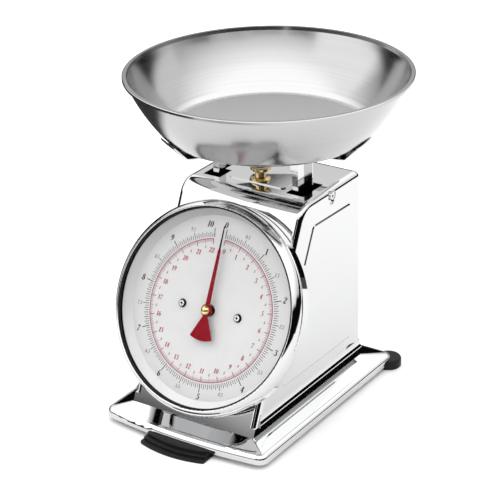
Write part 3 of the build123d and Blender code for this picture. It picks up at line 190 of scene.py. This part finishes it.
def spun_steel(name, centre, floor_z, floor_radius):
    """Bowl steel: ring-shaped satin marks on the sides and straight brush marks on the flat floor."""
    shader = Shader(name, (0.72, 0.72, 0.725), 0.2, metallic=1.0)
    local = shader.vector("SUBTRACT", shader.position, tuple(centre))
    radius = shader.vector("LENGTH", shader.vector("MULTIPLY", local, LEVEL), ORIGIN)
    height = shader.vector("DOT_PRODUCT", shader.position, UP)
    rings = shader.noise(shader.combine(shader.math("MULTIPLY", radius, 2400.0),
                                        shader.math("MULTIPLY", height, 2400.0), 0.0), 1.0, 3.0)
    brush = shader.noise(shader.vector("MULTIPLY", local, (60.0, 2800.0, 1.0)), 1.0, 3.0)
    inside = shader.math("LESS_THAN", radius, floor_radius)
    above = shader.math("GREATER_THAN", height, floor_z - 0.4 * MM)
    low = shader.math("LESS_THAN", height, floor_z + 0.6 * MM)
    on_floor = shader.math("MULTIPLY", inside, shader.math("MULTIPLY", above, low))
    marks = shader.math("ADD", shader.math("MULTIPLY", brush, on_floor),
                        shader.math("MULTIPLY", rings, shader.math("SUBTRACT", 1.0, on_floor)))
    satin = shader.remap(marks, *NOISE_SPAN, 0.14, 0.20)
    shader.feed("Roughness", shader.math("ADD", satin, shader.math("MULTIPLY", on_floor, 0.16)))
    shade = shader.math("ADD", shader.remap(marks, *NOISE_SPAN, 0.75, 0.95),
                        shader.math("MULTIPLY", on_floor, -0.25))
    shader.feed("Base Color", shader.colours(shade, [(0.4, (0.30, 0.30, 0.303)),
                                                     (0.9, (0.46, 0.46, 0.464))]))
    shader.feed("Normal", shader.bump(marks, 0.12, 0.03 * MM))
    return shader.material


def plated(name, colour, roughness):
    """Zinc plate or ground steel: mottled sheen with fine draw lines."""
    shader = Shader(name, colour, roughness, metallic=1.0)
    spangle = shader.noise(shader.position, 160.0, 4.0, 0.6)
    shader.feed("Roughness", shader.remap(spangle, *NOISE_SPAN, roughness * 0.8, roughness * 1.25))
    dark = tuple(channel * 0.8 for channel in colour)
    shader.feed("Base Color", shader.colours(spangle, [(0.35, dark), (0.7, colour)]))
    lines = shader.noise(shader.vector("MULTIPLY", shader.position, (300.0, 300.0, 3000.0)), 1.0, 2.0)
    shader.feed("Normal", shader.bump(lines, 0.15, 0.04 * MM))
    return shader.material


def screw_chrome(name):
    """Bright screw heads on the dial, with painted shade: black on the edge, the flank and in the cross recess."""
    shader = Shader(name, (0.68, 0.685, 0.69), 0.14, metallic=1.0)
    local = shader.vector("SUBTRACT", shader.position, tuple(DIAL_CENTRE))
    height = shader.vector("DOT_PRODUCT", local, tuple(OUTWARD))
    grain = shader.noise(shader.position, 900.0, 3.0)
    across = shader.math("ABSOLUTE", shader.vector("DOT_PRODUCT", local, tuple(ACROSS)))
    across = shader.math("SUBTRACT", across, DIAL_SCREW_X)
    along = shader.vector("DOT_PRODUCT", local, tuple(UPSLOPE))
    radius = shader.math("SQRT", shader.math("ADD", shader.math("MULTIPLY", across, across),
                                             shader.math("MULTIPLY", along, along)))
    # painted shade: black on the flank, the edge and in the cross recess, which lie below the top face or beyond
    # the rim
    face = shader.math("MULTIPLY", shader.remap(height, *DIAL_SCREW_SHADE_TOP, 0.0, 0.9),
                       shader.remap(radius, *DIAL_SCREW_SHADE_RIM, 1.0, 0.0))
    place = shader.math("ADD", face, shader.math("MULTIPLY", grain, 0.1))
    shader.feed("Base Color", shader.colours(place, [(0.05, (0.025, 0.025, 0.027)),
                                                     (0.9, (0.68, 0.685, 0.69))]))
    shader.feed("Normal", shader.bump(grain, 0.1, 0.03 * MM))
    return shader.material


def turned_brass(name, axis_point):
    """Brass with the lathe's rings round an upright axis and a slightly darker tarnish in places."""
    shader = Shader(name, (0.80, 0.64, 0.34), 0.16, metallic=1.0)
    local = shader.vector("SUBTRACT", shader.position, tuple(axis_point))
    radius = shader.vector("LENGTH", shader.vector("MULTIPLY", local, LEVEL), ORIGIN)
    height = shader.vector("DOT_PRODUCT", shader.position, UP)
    rings = shader.noise(shader.combine(shader.math("MULTIPLY", radius, 5000.0),
                                        shader.math("MULTIPLY", height, 5000.0), 0.0), 1.0, 2.0)
    tarnish = shader.noise(shader.position, 220.0, 4.0)
    shader.feed("Base Color", shader.colours(tarnish, [(0.3, (0.60, 0.43, 0.18)),
                                                       (0.7, (0.82, 0.66, 0.36))]))
    shader.feed("Roughness", shader.remap(rings, *NOISE_SPAN, 0.10, 0.22))
    shader.feed("Normal", shader.bump(rings, 0.2, 0.03 * MM))
    return shader.material


def moulded_rubber(name):
    """Black rubber with a fine moulded grain and slightly greyer patches."""
    shader = Shader(name, (0.006, 0.006, 0.006), 0.5)
    shader.set("Specular IOR Level", 0.2)
    grain = shader.noise(shader.position, 2600.0, 2.0)
    patches = shader.noise(shader.position, 70.0, 3.0)
    shader.feed("Base Color", shader.colours(patches, [(0.3, (0.004, 0.004, 0.004)),
                                                       (0.75, (0.010, 0.010, 0.011))]))
    shader.feed("Roughness", shader.remap(patches, *NOISE_SPAN, 0.42, 0.60))
    shader.feed("Normal", shader.bump(grain, 0.35, 0.08 * MM))
    return shader.material


def satin_paint(name, colour, roughness):
    """Paint or print with a barely visible orange peel and tone variation."""
    shader = Shader(name, colour, roughness)
    tone = shader.noise(shader.position, 55.0, 3.0)
    dark = tuple(channel * 0.965 for channel in colour)
    shader.feed("Base Color", shader.colours(tone, [(0.3, dark), (0.7, colour)]))
    shader.feed("Roughness", shader.remap(tone, *NOISE_SPAN, roughness * 0.85, roughness * 1.15))
    peel = shader.noise(shader.position, 900.0, 2.0)
    shader.feed("Normal", shader.bump(peel, 0.08, 0.03 * MM))
    return shader.material


def reflector_paint(name):
    """Silver-grey paint on the slope round the dial, with painted shade that darkens it towards the top."""
    shader = Shader(name, (0.66, 0.665, 0.66), 0.35)
    local = shader.vector("SUBTRACT", shader.position, tuple(DIAL_CENTRE))
    along = shader.vector("DOT_PRODUCT", local, tuple(UPSLOPE))
    grain = shader.noise(shader.position, 420.0, 3.0)
    # painted shade: the colour runs from pale at the foot of the slope to dark at the top
    place = shader.math("ADD", shader.remap(along, *REFLECTOR_SHADE_SPAN, 0.0, 1.0),
                        shader.math("MULTIPLY", grain, 0.04))
    shader.feed("Base Color", shader.colours(place, [(0.0, (0.68, 0.685, 0.68)),
                                                     (0.45, (0.60, 0.605, 0.60)),
                                                     (1.0, (0.36, 0.362, 0.36))]))
    shader.feed("Normal", shader.bump(grain, 0.08, 0.03 * MM))
    return shader.material


def pointer_enamel(name):
    """Red enamel that ends in a near-black tip; the length runs up the dial at rest."""
    shader = Shader(name, (0.30, 0.004, 0.012), 0.25)
    shader.set("Specular IOR Level", 0.1)
    shader.set("Coat Weight", 0.05)
    shader.set("Coat Roughness", 0.06)
    local = shader.vector("SUBTRACT", shader.position, tuple(DIAL_CENTRE))
    along = shader.vector("DOT_PRODUCT", local, tuple(UPSLOPE))
    tone = shader.noise(shader.position, 260.0, 3.0)
    red = shader.colours(tone, [(0.3, (0.17, 0.0015, 0.007)), (0.7, (0.25, 0.003, 0.012))])
    mix = shader.tree.nodes.new("ShaderNodeMix")
    mix.data_type = "RGBA"
    shader.link(shader.remap(along, *POINTER_BLACK, 0.0, 1.0), mix.inputs["Factor"])
    shader.link(red, mix.inputs["A"])
    mix.inputs["B"].default_value = (0.025, 0.002, 0.006, 1.0)
    shader.feed("Base Color", mix.outputs["Result"])
    peel = shader.noise(shader.position, 1500.0, 2.0)
    shader.feed("Normal", shader.bump(peel, 0.06, 0.03 * MM))
    return shader.material


def clear_glass(name):
    """Thin clear cover: it doesn't shift what lies behind it and its polished outer skin reflects."""
    shader = Shader(name, (1.0, 1.0, 1.0), 0.0)
    shader.set("Transmission Weight", 1.0)
    shader.set("IOR", 1.0)
    shader.set("Alpha", 0.25)
    shader.set("Coat Weight", 0.12)
    shader.set("Coat IOR", 1.45)
    smear = shader.noise(shader.position, 30.0, 3.0)
    shader.feed("Coat Roughness", shader.remap(smear, 0.4, 0.8, 0.0, 0.02))
    return shader.material


# ---- materials on the CAD nodes ------------------------------------------------------------
KNOB_AXIS = Vector(JOINTS["knob_turn"]["pos_m"])
FINISHES = {
    "polished_steel": polished_steel("mirror_sheet", (0.64, 0.642, 0.645), 0.03, 0.05),
    "bright_steel": polished_steel("bright_sheet", (0.62, 0.622, 0.625), 0.08, 0.04),
    "bowl_steel": spun_steel("spun_bowl", BOWL_CENTRE, BOWL_LOW.z + BOWL_SHEET, BOWL_FLOOR_RADIUS),
    "zinc_plate": plated("zinc_sheet", (0.60, 0.61, 0.62), 0.32),
    "tool_steel": plated("ground_steel", (0.50, 0.505, 0.52), 0.22),
    "brass": turned_brass("turned_brass", KNOB_AXIS),
    "black_rubber": moulded_rubber("black_rubber"),
    "dial_white": satin_paint("dial_print_white", (0.62, 0.625, 0.62), 0.45),
    "reflector": reflector_paint("reflector_grey_painted_shade"),
    "pointer_red": pointer_enamel("pointer_red"),
    "dial_glass": clear_glass("clear_glass"),
}
OWN_FINISHES = {"dial_screws": screw_chrome("screw_chrome")}   # a node's own, before its slot's
for entry in frame["record"]["subparts"]:
    mesh = NODES[entry["node"]].data
    mesh.materials.clear()
    mesh.materials.append(OWN_FINISHES.get(entry["node"], FINISHES[entry["material_slot"]]))

# ---- dial print ----------------------------------------------------------------------------
# The print is raised by a hair so that it is real geometry; heights are above the dial plate's face.
PRINT_FOOT = 0.02 * MM
PRINT_TOP = 0.06 * MM
KILOS = 10
DEGREES_PER_KILO = 35.0
TICKS_PER_KILO = 20
POUNDS = 22
DEGREES_PER_POUND = DEGREES_PER_KILO * 0.45359237
OUNCES = 16
# Each scale's ticks as (every how many, far end's radius, width), longest first.
KILO_TICK_FOOT = 63.0 * MM
KILO_TICKS = [(TICKS_PER_KILO, 70.7 * MM, 0.72 * MM), (TICKS_PER_KILO // 2, 69.0 * MM, 0.58 * MM),
              (2, 67.6 * MM, 0.52 * MM), (1, 66.5 * MM, 0.50 * MM)]
RING_OUTER = 61.9 * MM
RING_INNER = 61.2 * MM
OUNCE_TICKS = [(OUNCES, 56.9 * MM, 0.75 * MM), (OUNCES // 2, 57.8 * MM, 0.50 * MM),
               (2, 58.6 * MM, 0.36 * MM), (1, 59.4 * MM, 0.36 * MM)]
# Each row of numbers as (radius, height, weight of the strokes).
KILO_NUMBERS = (74.3 * MM, 5.4 * MM, 1.45)
HALF_KILO_NUMBERS = (72.2 * MM, 3.3 * MM, 1.35)
POUND_NUMBERS = (52.0 * MM, 4.3 * MM, 1.35)
HALF_POUND_NUMBERS = (55.0 * MM, 2.5 * MM, 1.1)
# Degrees by which the numbers at a scale's two ends are moved apart or together.
KILO_SHIFT = {0: -1.0, KILOS: -3.4}
POUND_SHIFT = {0: 1.6, POUNDS: -1.2}
ARC_STEP = 1.5              # degrees
ITALIC = 0.16               # lean of the numbers, x per y
CURVE_STEPS = 4


def on_dial(x, y, height):
    """Point in space at x, y and a height above the dial plate's face."""
    return DIAL_CENTRE + ACROSS * x + UPSLOPE * y + OUTWARD * (DIAL_FACE + height)


def turned(angle, radius, aside=0.0):
    """Place at a clockwise angle from the top and a radius, moved aside along the tangent."""
    turn = math.radians(angle)
    return (radius * math.sin(turn) + aside * math.cos(turn),
            radius * math.cos(turn) - aside * math.sin(turn))


class Print:
    """One colour of print on the dial: closed flat solids that stand just proud of the plate."""

    def __init__(self):
        self.mesh = bmesh.new()

    def strip(self, left, right):
        """Thin solid between two equally long lists of (x, y) points."""
        rows = []
        for a, b in zip(left, right):
            rows.append([self.mesh.verts.new(on_dial(*point, height)) for point, height in
                         ((a, PRINT_FOOT), (b, PRINT_FOOT), (b, PRINT_TOP), (a, PRINT_TOP))])
        for one, two in zip(rows, rows[1:]):
            for k in range(4):
                after = (k + 1) % 4
                self.mesh.faces.new((one[k], one[after], two[after], two[k]))
        self.mesh.faces.new(rows[0][::-1])
        self.mesh.faces.new(rows[-1])

    def tick(self, angle, inner, outer, width):
        """Straight line along a radius."""
        left = [turned(angle, radius, -width / 2) for radius in (inner, outer)]
        right = [turned(angle, radius, width / 2) for radius in (inner, outer)]
        self.strip(left, right)

    def arc(self, start, end, inner, outer):
        """Band between two radii, clockwise from start to end."""
        steps = int((end - start) / ARC_STEP)
        angles = [start + (end - start) * k / steps for k in range(steps + 1)]
        self.strip([turned(a, inner) for a in angles], [turned(a, outer) for a in angles])

    def number(self, text, centre, height, weight):
        """Number that stands level on the dial, centred on a point."""
        width = sum(GLYPH_WIDTH[letter] for letter in text) * height
        x = centre[0] - width / 2
        for letter in text:
            for points in GLYPHS[letter]:
                self.stroke(points, (x, centre[1] - height / 2), height, weight)
            x += GLYPH_WIDTH[letter] * height

    def stroke(self, points, origin, size, weight):
        """A pen stroke through (x, y, width) points, leaned like italic type."""
        path = smooth(points)
        left, right = [], []
        for k, (x, y, width) in enumerate(path):
            before, after = path[max(k - 1, 0)], path[min(k + 1, len(path) - 1)]
            dx, dy = after[0] - before[0], after[1] - before[1]
            length = math.hypot(dx, dy)
            half = width * weight / 2
            for side, row in ((1, left), (-1, right)):
                px = x - side * dy / length * half
                py = y + side * dx / length * half
                row.append((origin[0] + size * (px + ITALIC * (py - 0.5)), origin[1] + size * py))
        self.strip(left, right)

    def piece(self, name, material):
        """Turn the strips into one piece on the housing, which carries the dial plate."""
        mesh = bpy.data.meshes.new(name)
        bmesh.ops.recalc_face_normals(self.mesh, faces=self.mesh.faces)
        self.mesh.to_mesh(mesh)
        self.mesh.free()
        mesh.materials.append(material)
        obj = bpy.data.objects.new(name, mesh)
        bpy.context.scene.collection.objects.link(obj)
        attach(obj, "housing")


def smooth(points):
    """Catmull-Rom curve through (x, y, width) points; two points stay a straight stroke."""
    if len(points) == 2:
        return points
    path = []
    ends = [points[0]] + list(points) + [points[-1]]
    for k in range(len(points) - 1):
        p0, p1, p2, p3 = ends[k:k + 4]
        for step in range(CURVE_STEPS):
            t = step / CURVE_STEPS
            path.append(tuple(0.5 * (2 * b + (c - a) * t + (2 * a - 5 * b + 4 * c - d) * t ** 2
                                     + (3 * b - a - 3 * c + d) * t ** 3)
                              for a, b, c, d in zip(p0, p1, p2, p3)))
    path.append(tuple(points[-1]))
    return path


# The digits as pen strokes of (x, y, width) points in a cell one high.
THIN = 0.055
THICK = 0.16
OVAL_STEPS = 8
CELL_MIDDLE = 0.28


def oval(cy, rx, ry, thick=THICK):
    """Ellipse as two strokes from its top to its foot, thick at the sides and thin at top and foot."""
    strokes = []
    for end in (270, -90):
        points = []
        for k in range(OVAL_STEPS + 1):
            turn = math.radians(90 + (end - 90) * k / OVAL_STEPS)
            width = THIN + (thick - THIN) * math.cos(turn) ** 2
            points.append((CELL_MIDDLE + rx * math.cos(turn), cy + ry * math.sin(turn), width))
        strokes.append(points)
    return strokes


GLYPHS = {
    "0": oval(0.5, 0.19, 0.47),
    "1": [[(0.24, 0.02, THICK), (0.24, 0.98, THICK)], [(0.08, 0.84, THIN), (0.24, 0.93, 0.09)],
          [(0.06, 0.025, THIN), (0.42, 0.025, THIN)]],
    "2": [[(0.12, 0.74, 0.15), (0.14, 0.90, 0.08), (0.28, 0.97, THIN), (0.44, 0.78, THICK),
           (0.34, 0.48, 0.12), (0.12, 0.18, 0.07), (0.07, 0.05, 0.06)],
          [(0.07, 0.07, 0.12), (0.26, 0.07, 0.14), (0.42, 0.06, 0.12), (0.50, 0.22, 0.05)]],
    "3": [[(0.10, 0.80, 0.14), (0.16, 0.93, 0.07), (0.28, 0.97, THIN), (0.42, 0.80, 0.14),
           (0.36, 0.60, 0.09), (0.22, 0.53, THIN)],
          [(0.22, 0.53, THIN), (0.38, 0.47, 0.09), (0.46, 0.26, THICK), (0.30, 0.03, THIN),
           (0.13, 0.06, 0.08), (0.08, 0.20, 0.14)]],
    "4": [[(0.36, 0.02, THICK), (0.36, 0.98, THICK)], [(0.34, 0.95, THIN), (0.04, 0.30, THIN)],
          [(0.04, 0.28, THIN), (0.52, 0.28, THIN)], [(0.24, 0.025, THIN), (0.48, 0.025, THIN)]],
    "5": [[(0.14, 0.94, 0.11), (0.30, 0.91, 0.13), (0.46, 0.95, 0.10)],
          [(0.13, 0.96, THIN), (0.11, 0.52, THIN)],
          [(0.11, 0.54, THIN), (0.30, 0.61, 0.07), (0.45, 0.34, THICK), (0.30, 0.04, THIN),
           (0.12, 0.07, 0.08), (0.08, 0.19, 0.14)]],
    "6": [*oval(0.30, 0.17, 0.27),
          [(0.46, 0.90, 0.07), (0.34, 0.95, THIN), (0.18, 0.72, 0.12), (0.11, 0.34, 0.15)]],
    "7": [[(0.07, 0.78, 0.05), (0.12, 0.93, 0.11), (0.26, 0.90, 0.15), (0.48, 0.94, 0.11)],
          [(0.48, 0.92, THIN), (0.28, 0.50, 0.08), (0.20, 0.02, 0.17)]],
    "8": [*oval(0.76, 0.14, 0.21, thick=0.13), *oval(0.28, 0.18, 0.26)],
    "9": [*oval(0.70, 0.17, 0.27),
          [(0.10, 0.10, 0.07), (0.22, 0.05, THIN), (0.38, 0.28, 0.12), (0.45, 0.66, 0.15)]],
    ".": [[(0.06, 0.06, 0.13), (0.19, 0.06, 0.13)]],
}
GLYPH_WIDTH = {letter: 0.60 for letter in GLYPHS}
GLYPH_WIDTH["1"] = 0.50
GLYPH_WIDTH["."] = 0.25


def tick_size(k, ticks):
    """Far end's radius and width of tick k."""
    return next((radius, width) for every, radius, width in ticks if k % every == 0)


def kilo_print():
    """Black ticks every 50 g and the kilo numbers."""
    black = Print()
    for k in range(KILOS * TICKS_PER_KILO + 1):
        outer, width = tick_size(k, KILO_TICKS)
        black.tick(k * DEGREES_PER_KILO / TICKS_PER_KILO, KILO_TICK_FOOT, outer, width)
    radius, height, weight = KILO_NUMBERS
    for kilo in range(KILOS + 1):
        angle = kilo * DEGREES_PER_KILO + KILO_SHIFT.get(kilo, 0.0)
        black.number(str(kilo), turned(angle, radius), height, weight)
    black.piece("dial_print_kilos", satin_paint("print_black", (0.006, 0.006, 0.008), 0.4))


def half_kilo_print():
    """Small grey numbers at the half kilos."""
    grey = Print()
    radius, height, weight = HALF_KILO_NUMBERS
    for kilo in range(KILOS):
        grey.number(f"{kilo}.5", turned((kilo + 0.5) * DEGREES_PER_KILO, radius), height, weight)
    grey.piece("dial_print_halves", satin_paint("print_grey", (0.17, 0.172, 0.178), 0.45))


def pound_print():
    """Dull red ring with ticks every ounce, red pound numbers and a small 8 at each half pound."""
    ring = Print()
    ring.arc(0.0, POUNDS * DEGREES_PER_POUND, RING_INNER, RING_OUTER)
    for k in range(POUNDS * OUNCES + 1):
        inner, width = tick_size(k, OUNCE_TICKS)
        ring.tick(k * DEGREES_PER_POUND / OUNCES, inner, RING_INNER, width)
    ring.piece("dial_print_ounces", satin_paint("print_dull_red", (0.30, 0.045, 0.095), 0.4))
    red = Print()
    radius, height, weight = POUND_NUMBERS
    for pound in range(POUNDS + 1):
        angle = pound * DEGREES_PER_POUND + POUND_SHIFT.get(pound, 0.0)
        red.number(str(pound), turned(angle, radius), height, weight)
    radius, height, weight = HALF_POUND_NUMBERS
    for pound in range(POUNDS):
        red.number("8", turned((pound + 0.5) * DEGREES_PER_POUND, radius), height, weight)
    red.piece("dial_print_pounds", satin_paint("print_red", (0.34, 0.015, 0.04), 0.4))


kilo_print()
half_kilo_print()
pound_print()


# ---- floor, light and camera ---------------------------------------------------------------
FLOOR_SIZE = 12.0
PAPER_LEFT, PAPER_RIGHT = -0.31, 1.30       # ends of the lit paper on the floor, as the steel sees it
PAPER_FRONT, PAPER_REAR = -0.85, 1.30
PAPER_FADE = 0.05                           # width of its edges


def make_floor():
    """Pale floor that looks dark in reflections beyond the lit paper."""
    bpy.ops.mesh.primitive_plane_add(size=FLOOR_SIZE, location=ORIGIN)
    floor = bpy.context.object
    floor.name = "studio_floor"
    shader = Shader("pale_floor", (0.90, 0.90, 0.90), 0.7)
    shader.set("Specular IOR Level", 0.1)
    x = shader.vector("DOT_PRODUCT", shader.position, RIGHT)
    y = shader.vector("DOT_PRODUCT", shader.position, REAR)
    edge = 0.0
    for along, end, fade in ((x, PAPER_RIGHT, PAPER_FADE), (y, PAPER_REAR, PAPER_FADE),
                             (y, PAPER_FRONT, -PAPER_FADE), (x, PAPER_LEFT, -PAPER_FADE)):
        edge = shader.math("MAXIMUM", edge, shader.remap(along, end, end + fade, 0.0, 1.0))
    path = shader.tree.nodes.new("ShaderNodeLightPath")
    shade = shader.math("MULTIPLY", edge, path.outputs["Is Glossy Ray"])
    shader.feed("Base Color", shader.colours(shade, [(0.0, (0.90, 0.90, 0.90)), (1.0, (0.02, 0.02, 0.02))]))
    floor.data.materials.append(shader.material)


# The world's bearings are degrees from the front towards the right, and elevations are degrees too.
# A window is (begin, full, keep, end): it fades in from begin to full and out from keep to end.
LOW_HORIZON = 11.0          # top of the dark room
HORIZON_FADE = 4.0
# Bearings where the dark room stands higher, and by how many degrees.
HORIZON_RISES = [((-15.0, -7.0, 62.0, 115.0), 14.0), ((74.0, 88.0, 100.0, 122.0), 5.0),
                 ((-179.9, -179.0, -100.0, -90.0), 4.0)]
ROOM = 0.004                # brightness of the dark room
SKY_SPAN = (15.0, 50.0)     # elevations between which the tent's brightness goes from low to high
SKY_LOW, SKY_HIGH = 0.55, 2.2
TENT = 1.7                  # brightness of the white screen to the front left
SCREENS = [((-95.0, -70.0, -12.0, 0.0), TENT), ((100.0, 125.0, 165.0, 178.0), 1.2)]
STRIP = (16.0, 17.0, 19.0, 20.0)            # a narrow lit gap in the dark room at the front
STRIP_FOOT = (2.0, 5.0)                     # elevations over which it fades in
STRIP_LEVEL = 0.8 * TENT
FILL_SPAN = (-10.0, 60.0)   # the same two for the light that falls on matt surfaces
FILL_LOW, FILL_HIGH = 0.30, 2.0


def make_world():
    """White tent over a dark room; matt surfaces are lit evenly and the camera sees plain white."""
    world = bpy.data.worlds.new("studio")
    bpy.context.scene.world = world
    world.use_nodes = True
    sky = Nodes(world.node_tree)
    split = sky.tree.nodes.new("ShaderNodeSeparateXYZ")
    sky.link(sky.tree.nodes.new("ShaderNodeTexCoord").outputs["Generated"], split.inputs[0])
    x, y, z = split.outputs
    elevation = sky.math("MULTIPLY", sky.math("ARCSINE", z), math.degrees(1.0))
    bearing = sky.math("ARCTAN2", x, sky.math("MULTIPLY", y, -1.0))
    bearing = sky.math("MULTIPLY", bearing, math.degrees(1.0))
    horizon = LOW_HORIZON
    for window, rise in HORIZON_RISES:
        horizon = sky.math("ADD", sky.math("MULTIPLY", sky.window(bearing, *window), rise), horizon)
    above = sky.remap(sky.math("SUBTRACT", elevation, horizon), 0.0, HORIZON_FADE, 0.0, 1.0)
    cloth = sky.remap(elevation, *SKY_SPAN, SKY_LOW, SKY_HIGH)
    for window, level in SCREENS:
        cloth = sky.math("MAXIMUM", cloth, sky.math("MULTIPLY", sky.window(bearing, *window), level))
    strip = sky.math("MULTIPLY", sky.window(bearing, *STRIP),
                     sky.remap(elevation, *STRIP_FOOT, 0.0, STRIP_LEVEL))
    tent = sky.math("ADD", sky.math("MAXIMUM", sky.math("MULTIPLY", above, cloth), strip), ROOM)
    path = sky.tree.nodes.new("ShaderNodeLightPath")
    matt = path.outputs["Is Diffuse Ray"]
    fill = sky.remap(elevation, *FILL_SPAN, FILL_LOW, FILL_HIGH)
    level = sky.math("ADD", sky.math("MULTIPLY", matt, fill),
                     sky.math("MULTIPLY", sky.math("SUBTRACT", 1.0, matt), tent))
    level = sky.math("MAXIMUM", level, path.outputs["Is Camera Ray"])
    background = sky.tree.nodes["Background"]
    sky.link(level, background.inputs["Color"])
    background.inputs["Strength"].default_value = 1.0


CAMERA_PLACE = Vector((0.8053, -1.2113, 0.8065))
CAMERA_ANGLES = (33.91, 24.75, -1.18)       # azimuth, elevation and roll in degrees
CAMERA_LENS = 131.2
CAMERA_SENSOR = 36.0
CAMERA_REACH = 30.0


def make_camera():
    """Long lens to the front right, looking down on the scale."""
    azimuth, elevation, roll = (math.radians(angle) for angle in CAMERA_ANGLES)
    back = Vector((math.sin(azimuth) * math.cos(elevation), -math.cos(azimuth) * math.cos(elevation),
                   math.sin(elevation)))
    right = Vector((math.cos(azimuth), math.sin(azimuth), 0.0))
    up = back.cross(right)
    right, up = (right * math.cos(roll) + up * math.sin(roll),
                 up * math.cos(roll) - right * math.sin(roll))
    data = bpy.data.cameras.new("camera")
    data.sensor_width = CAMERA_SENSOR
    data.lens = CAMERA_LENS
    data.clip_end = CAMERA_REACH
    camera = bpy.data.objects.new("camera", data)
    bpy.context.scene.collection.objects.link(camera)
    turn = Matrix((right, up, back)).transposed().to_4x4()
    camera.matrix_world = Matrix.Translation(CAMERA_PLACE) @ turn
    bpy.context.scene.camera = camera


make_floor()
make_world()
make_camera()
bpy.context.scene.view_settings.view_transform = "Standard"
bpy.context.scene.cycles.use_denoising = True
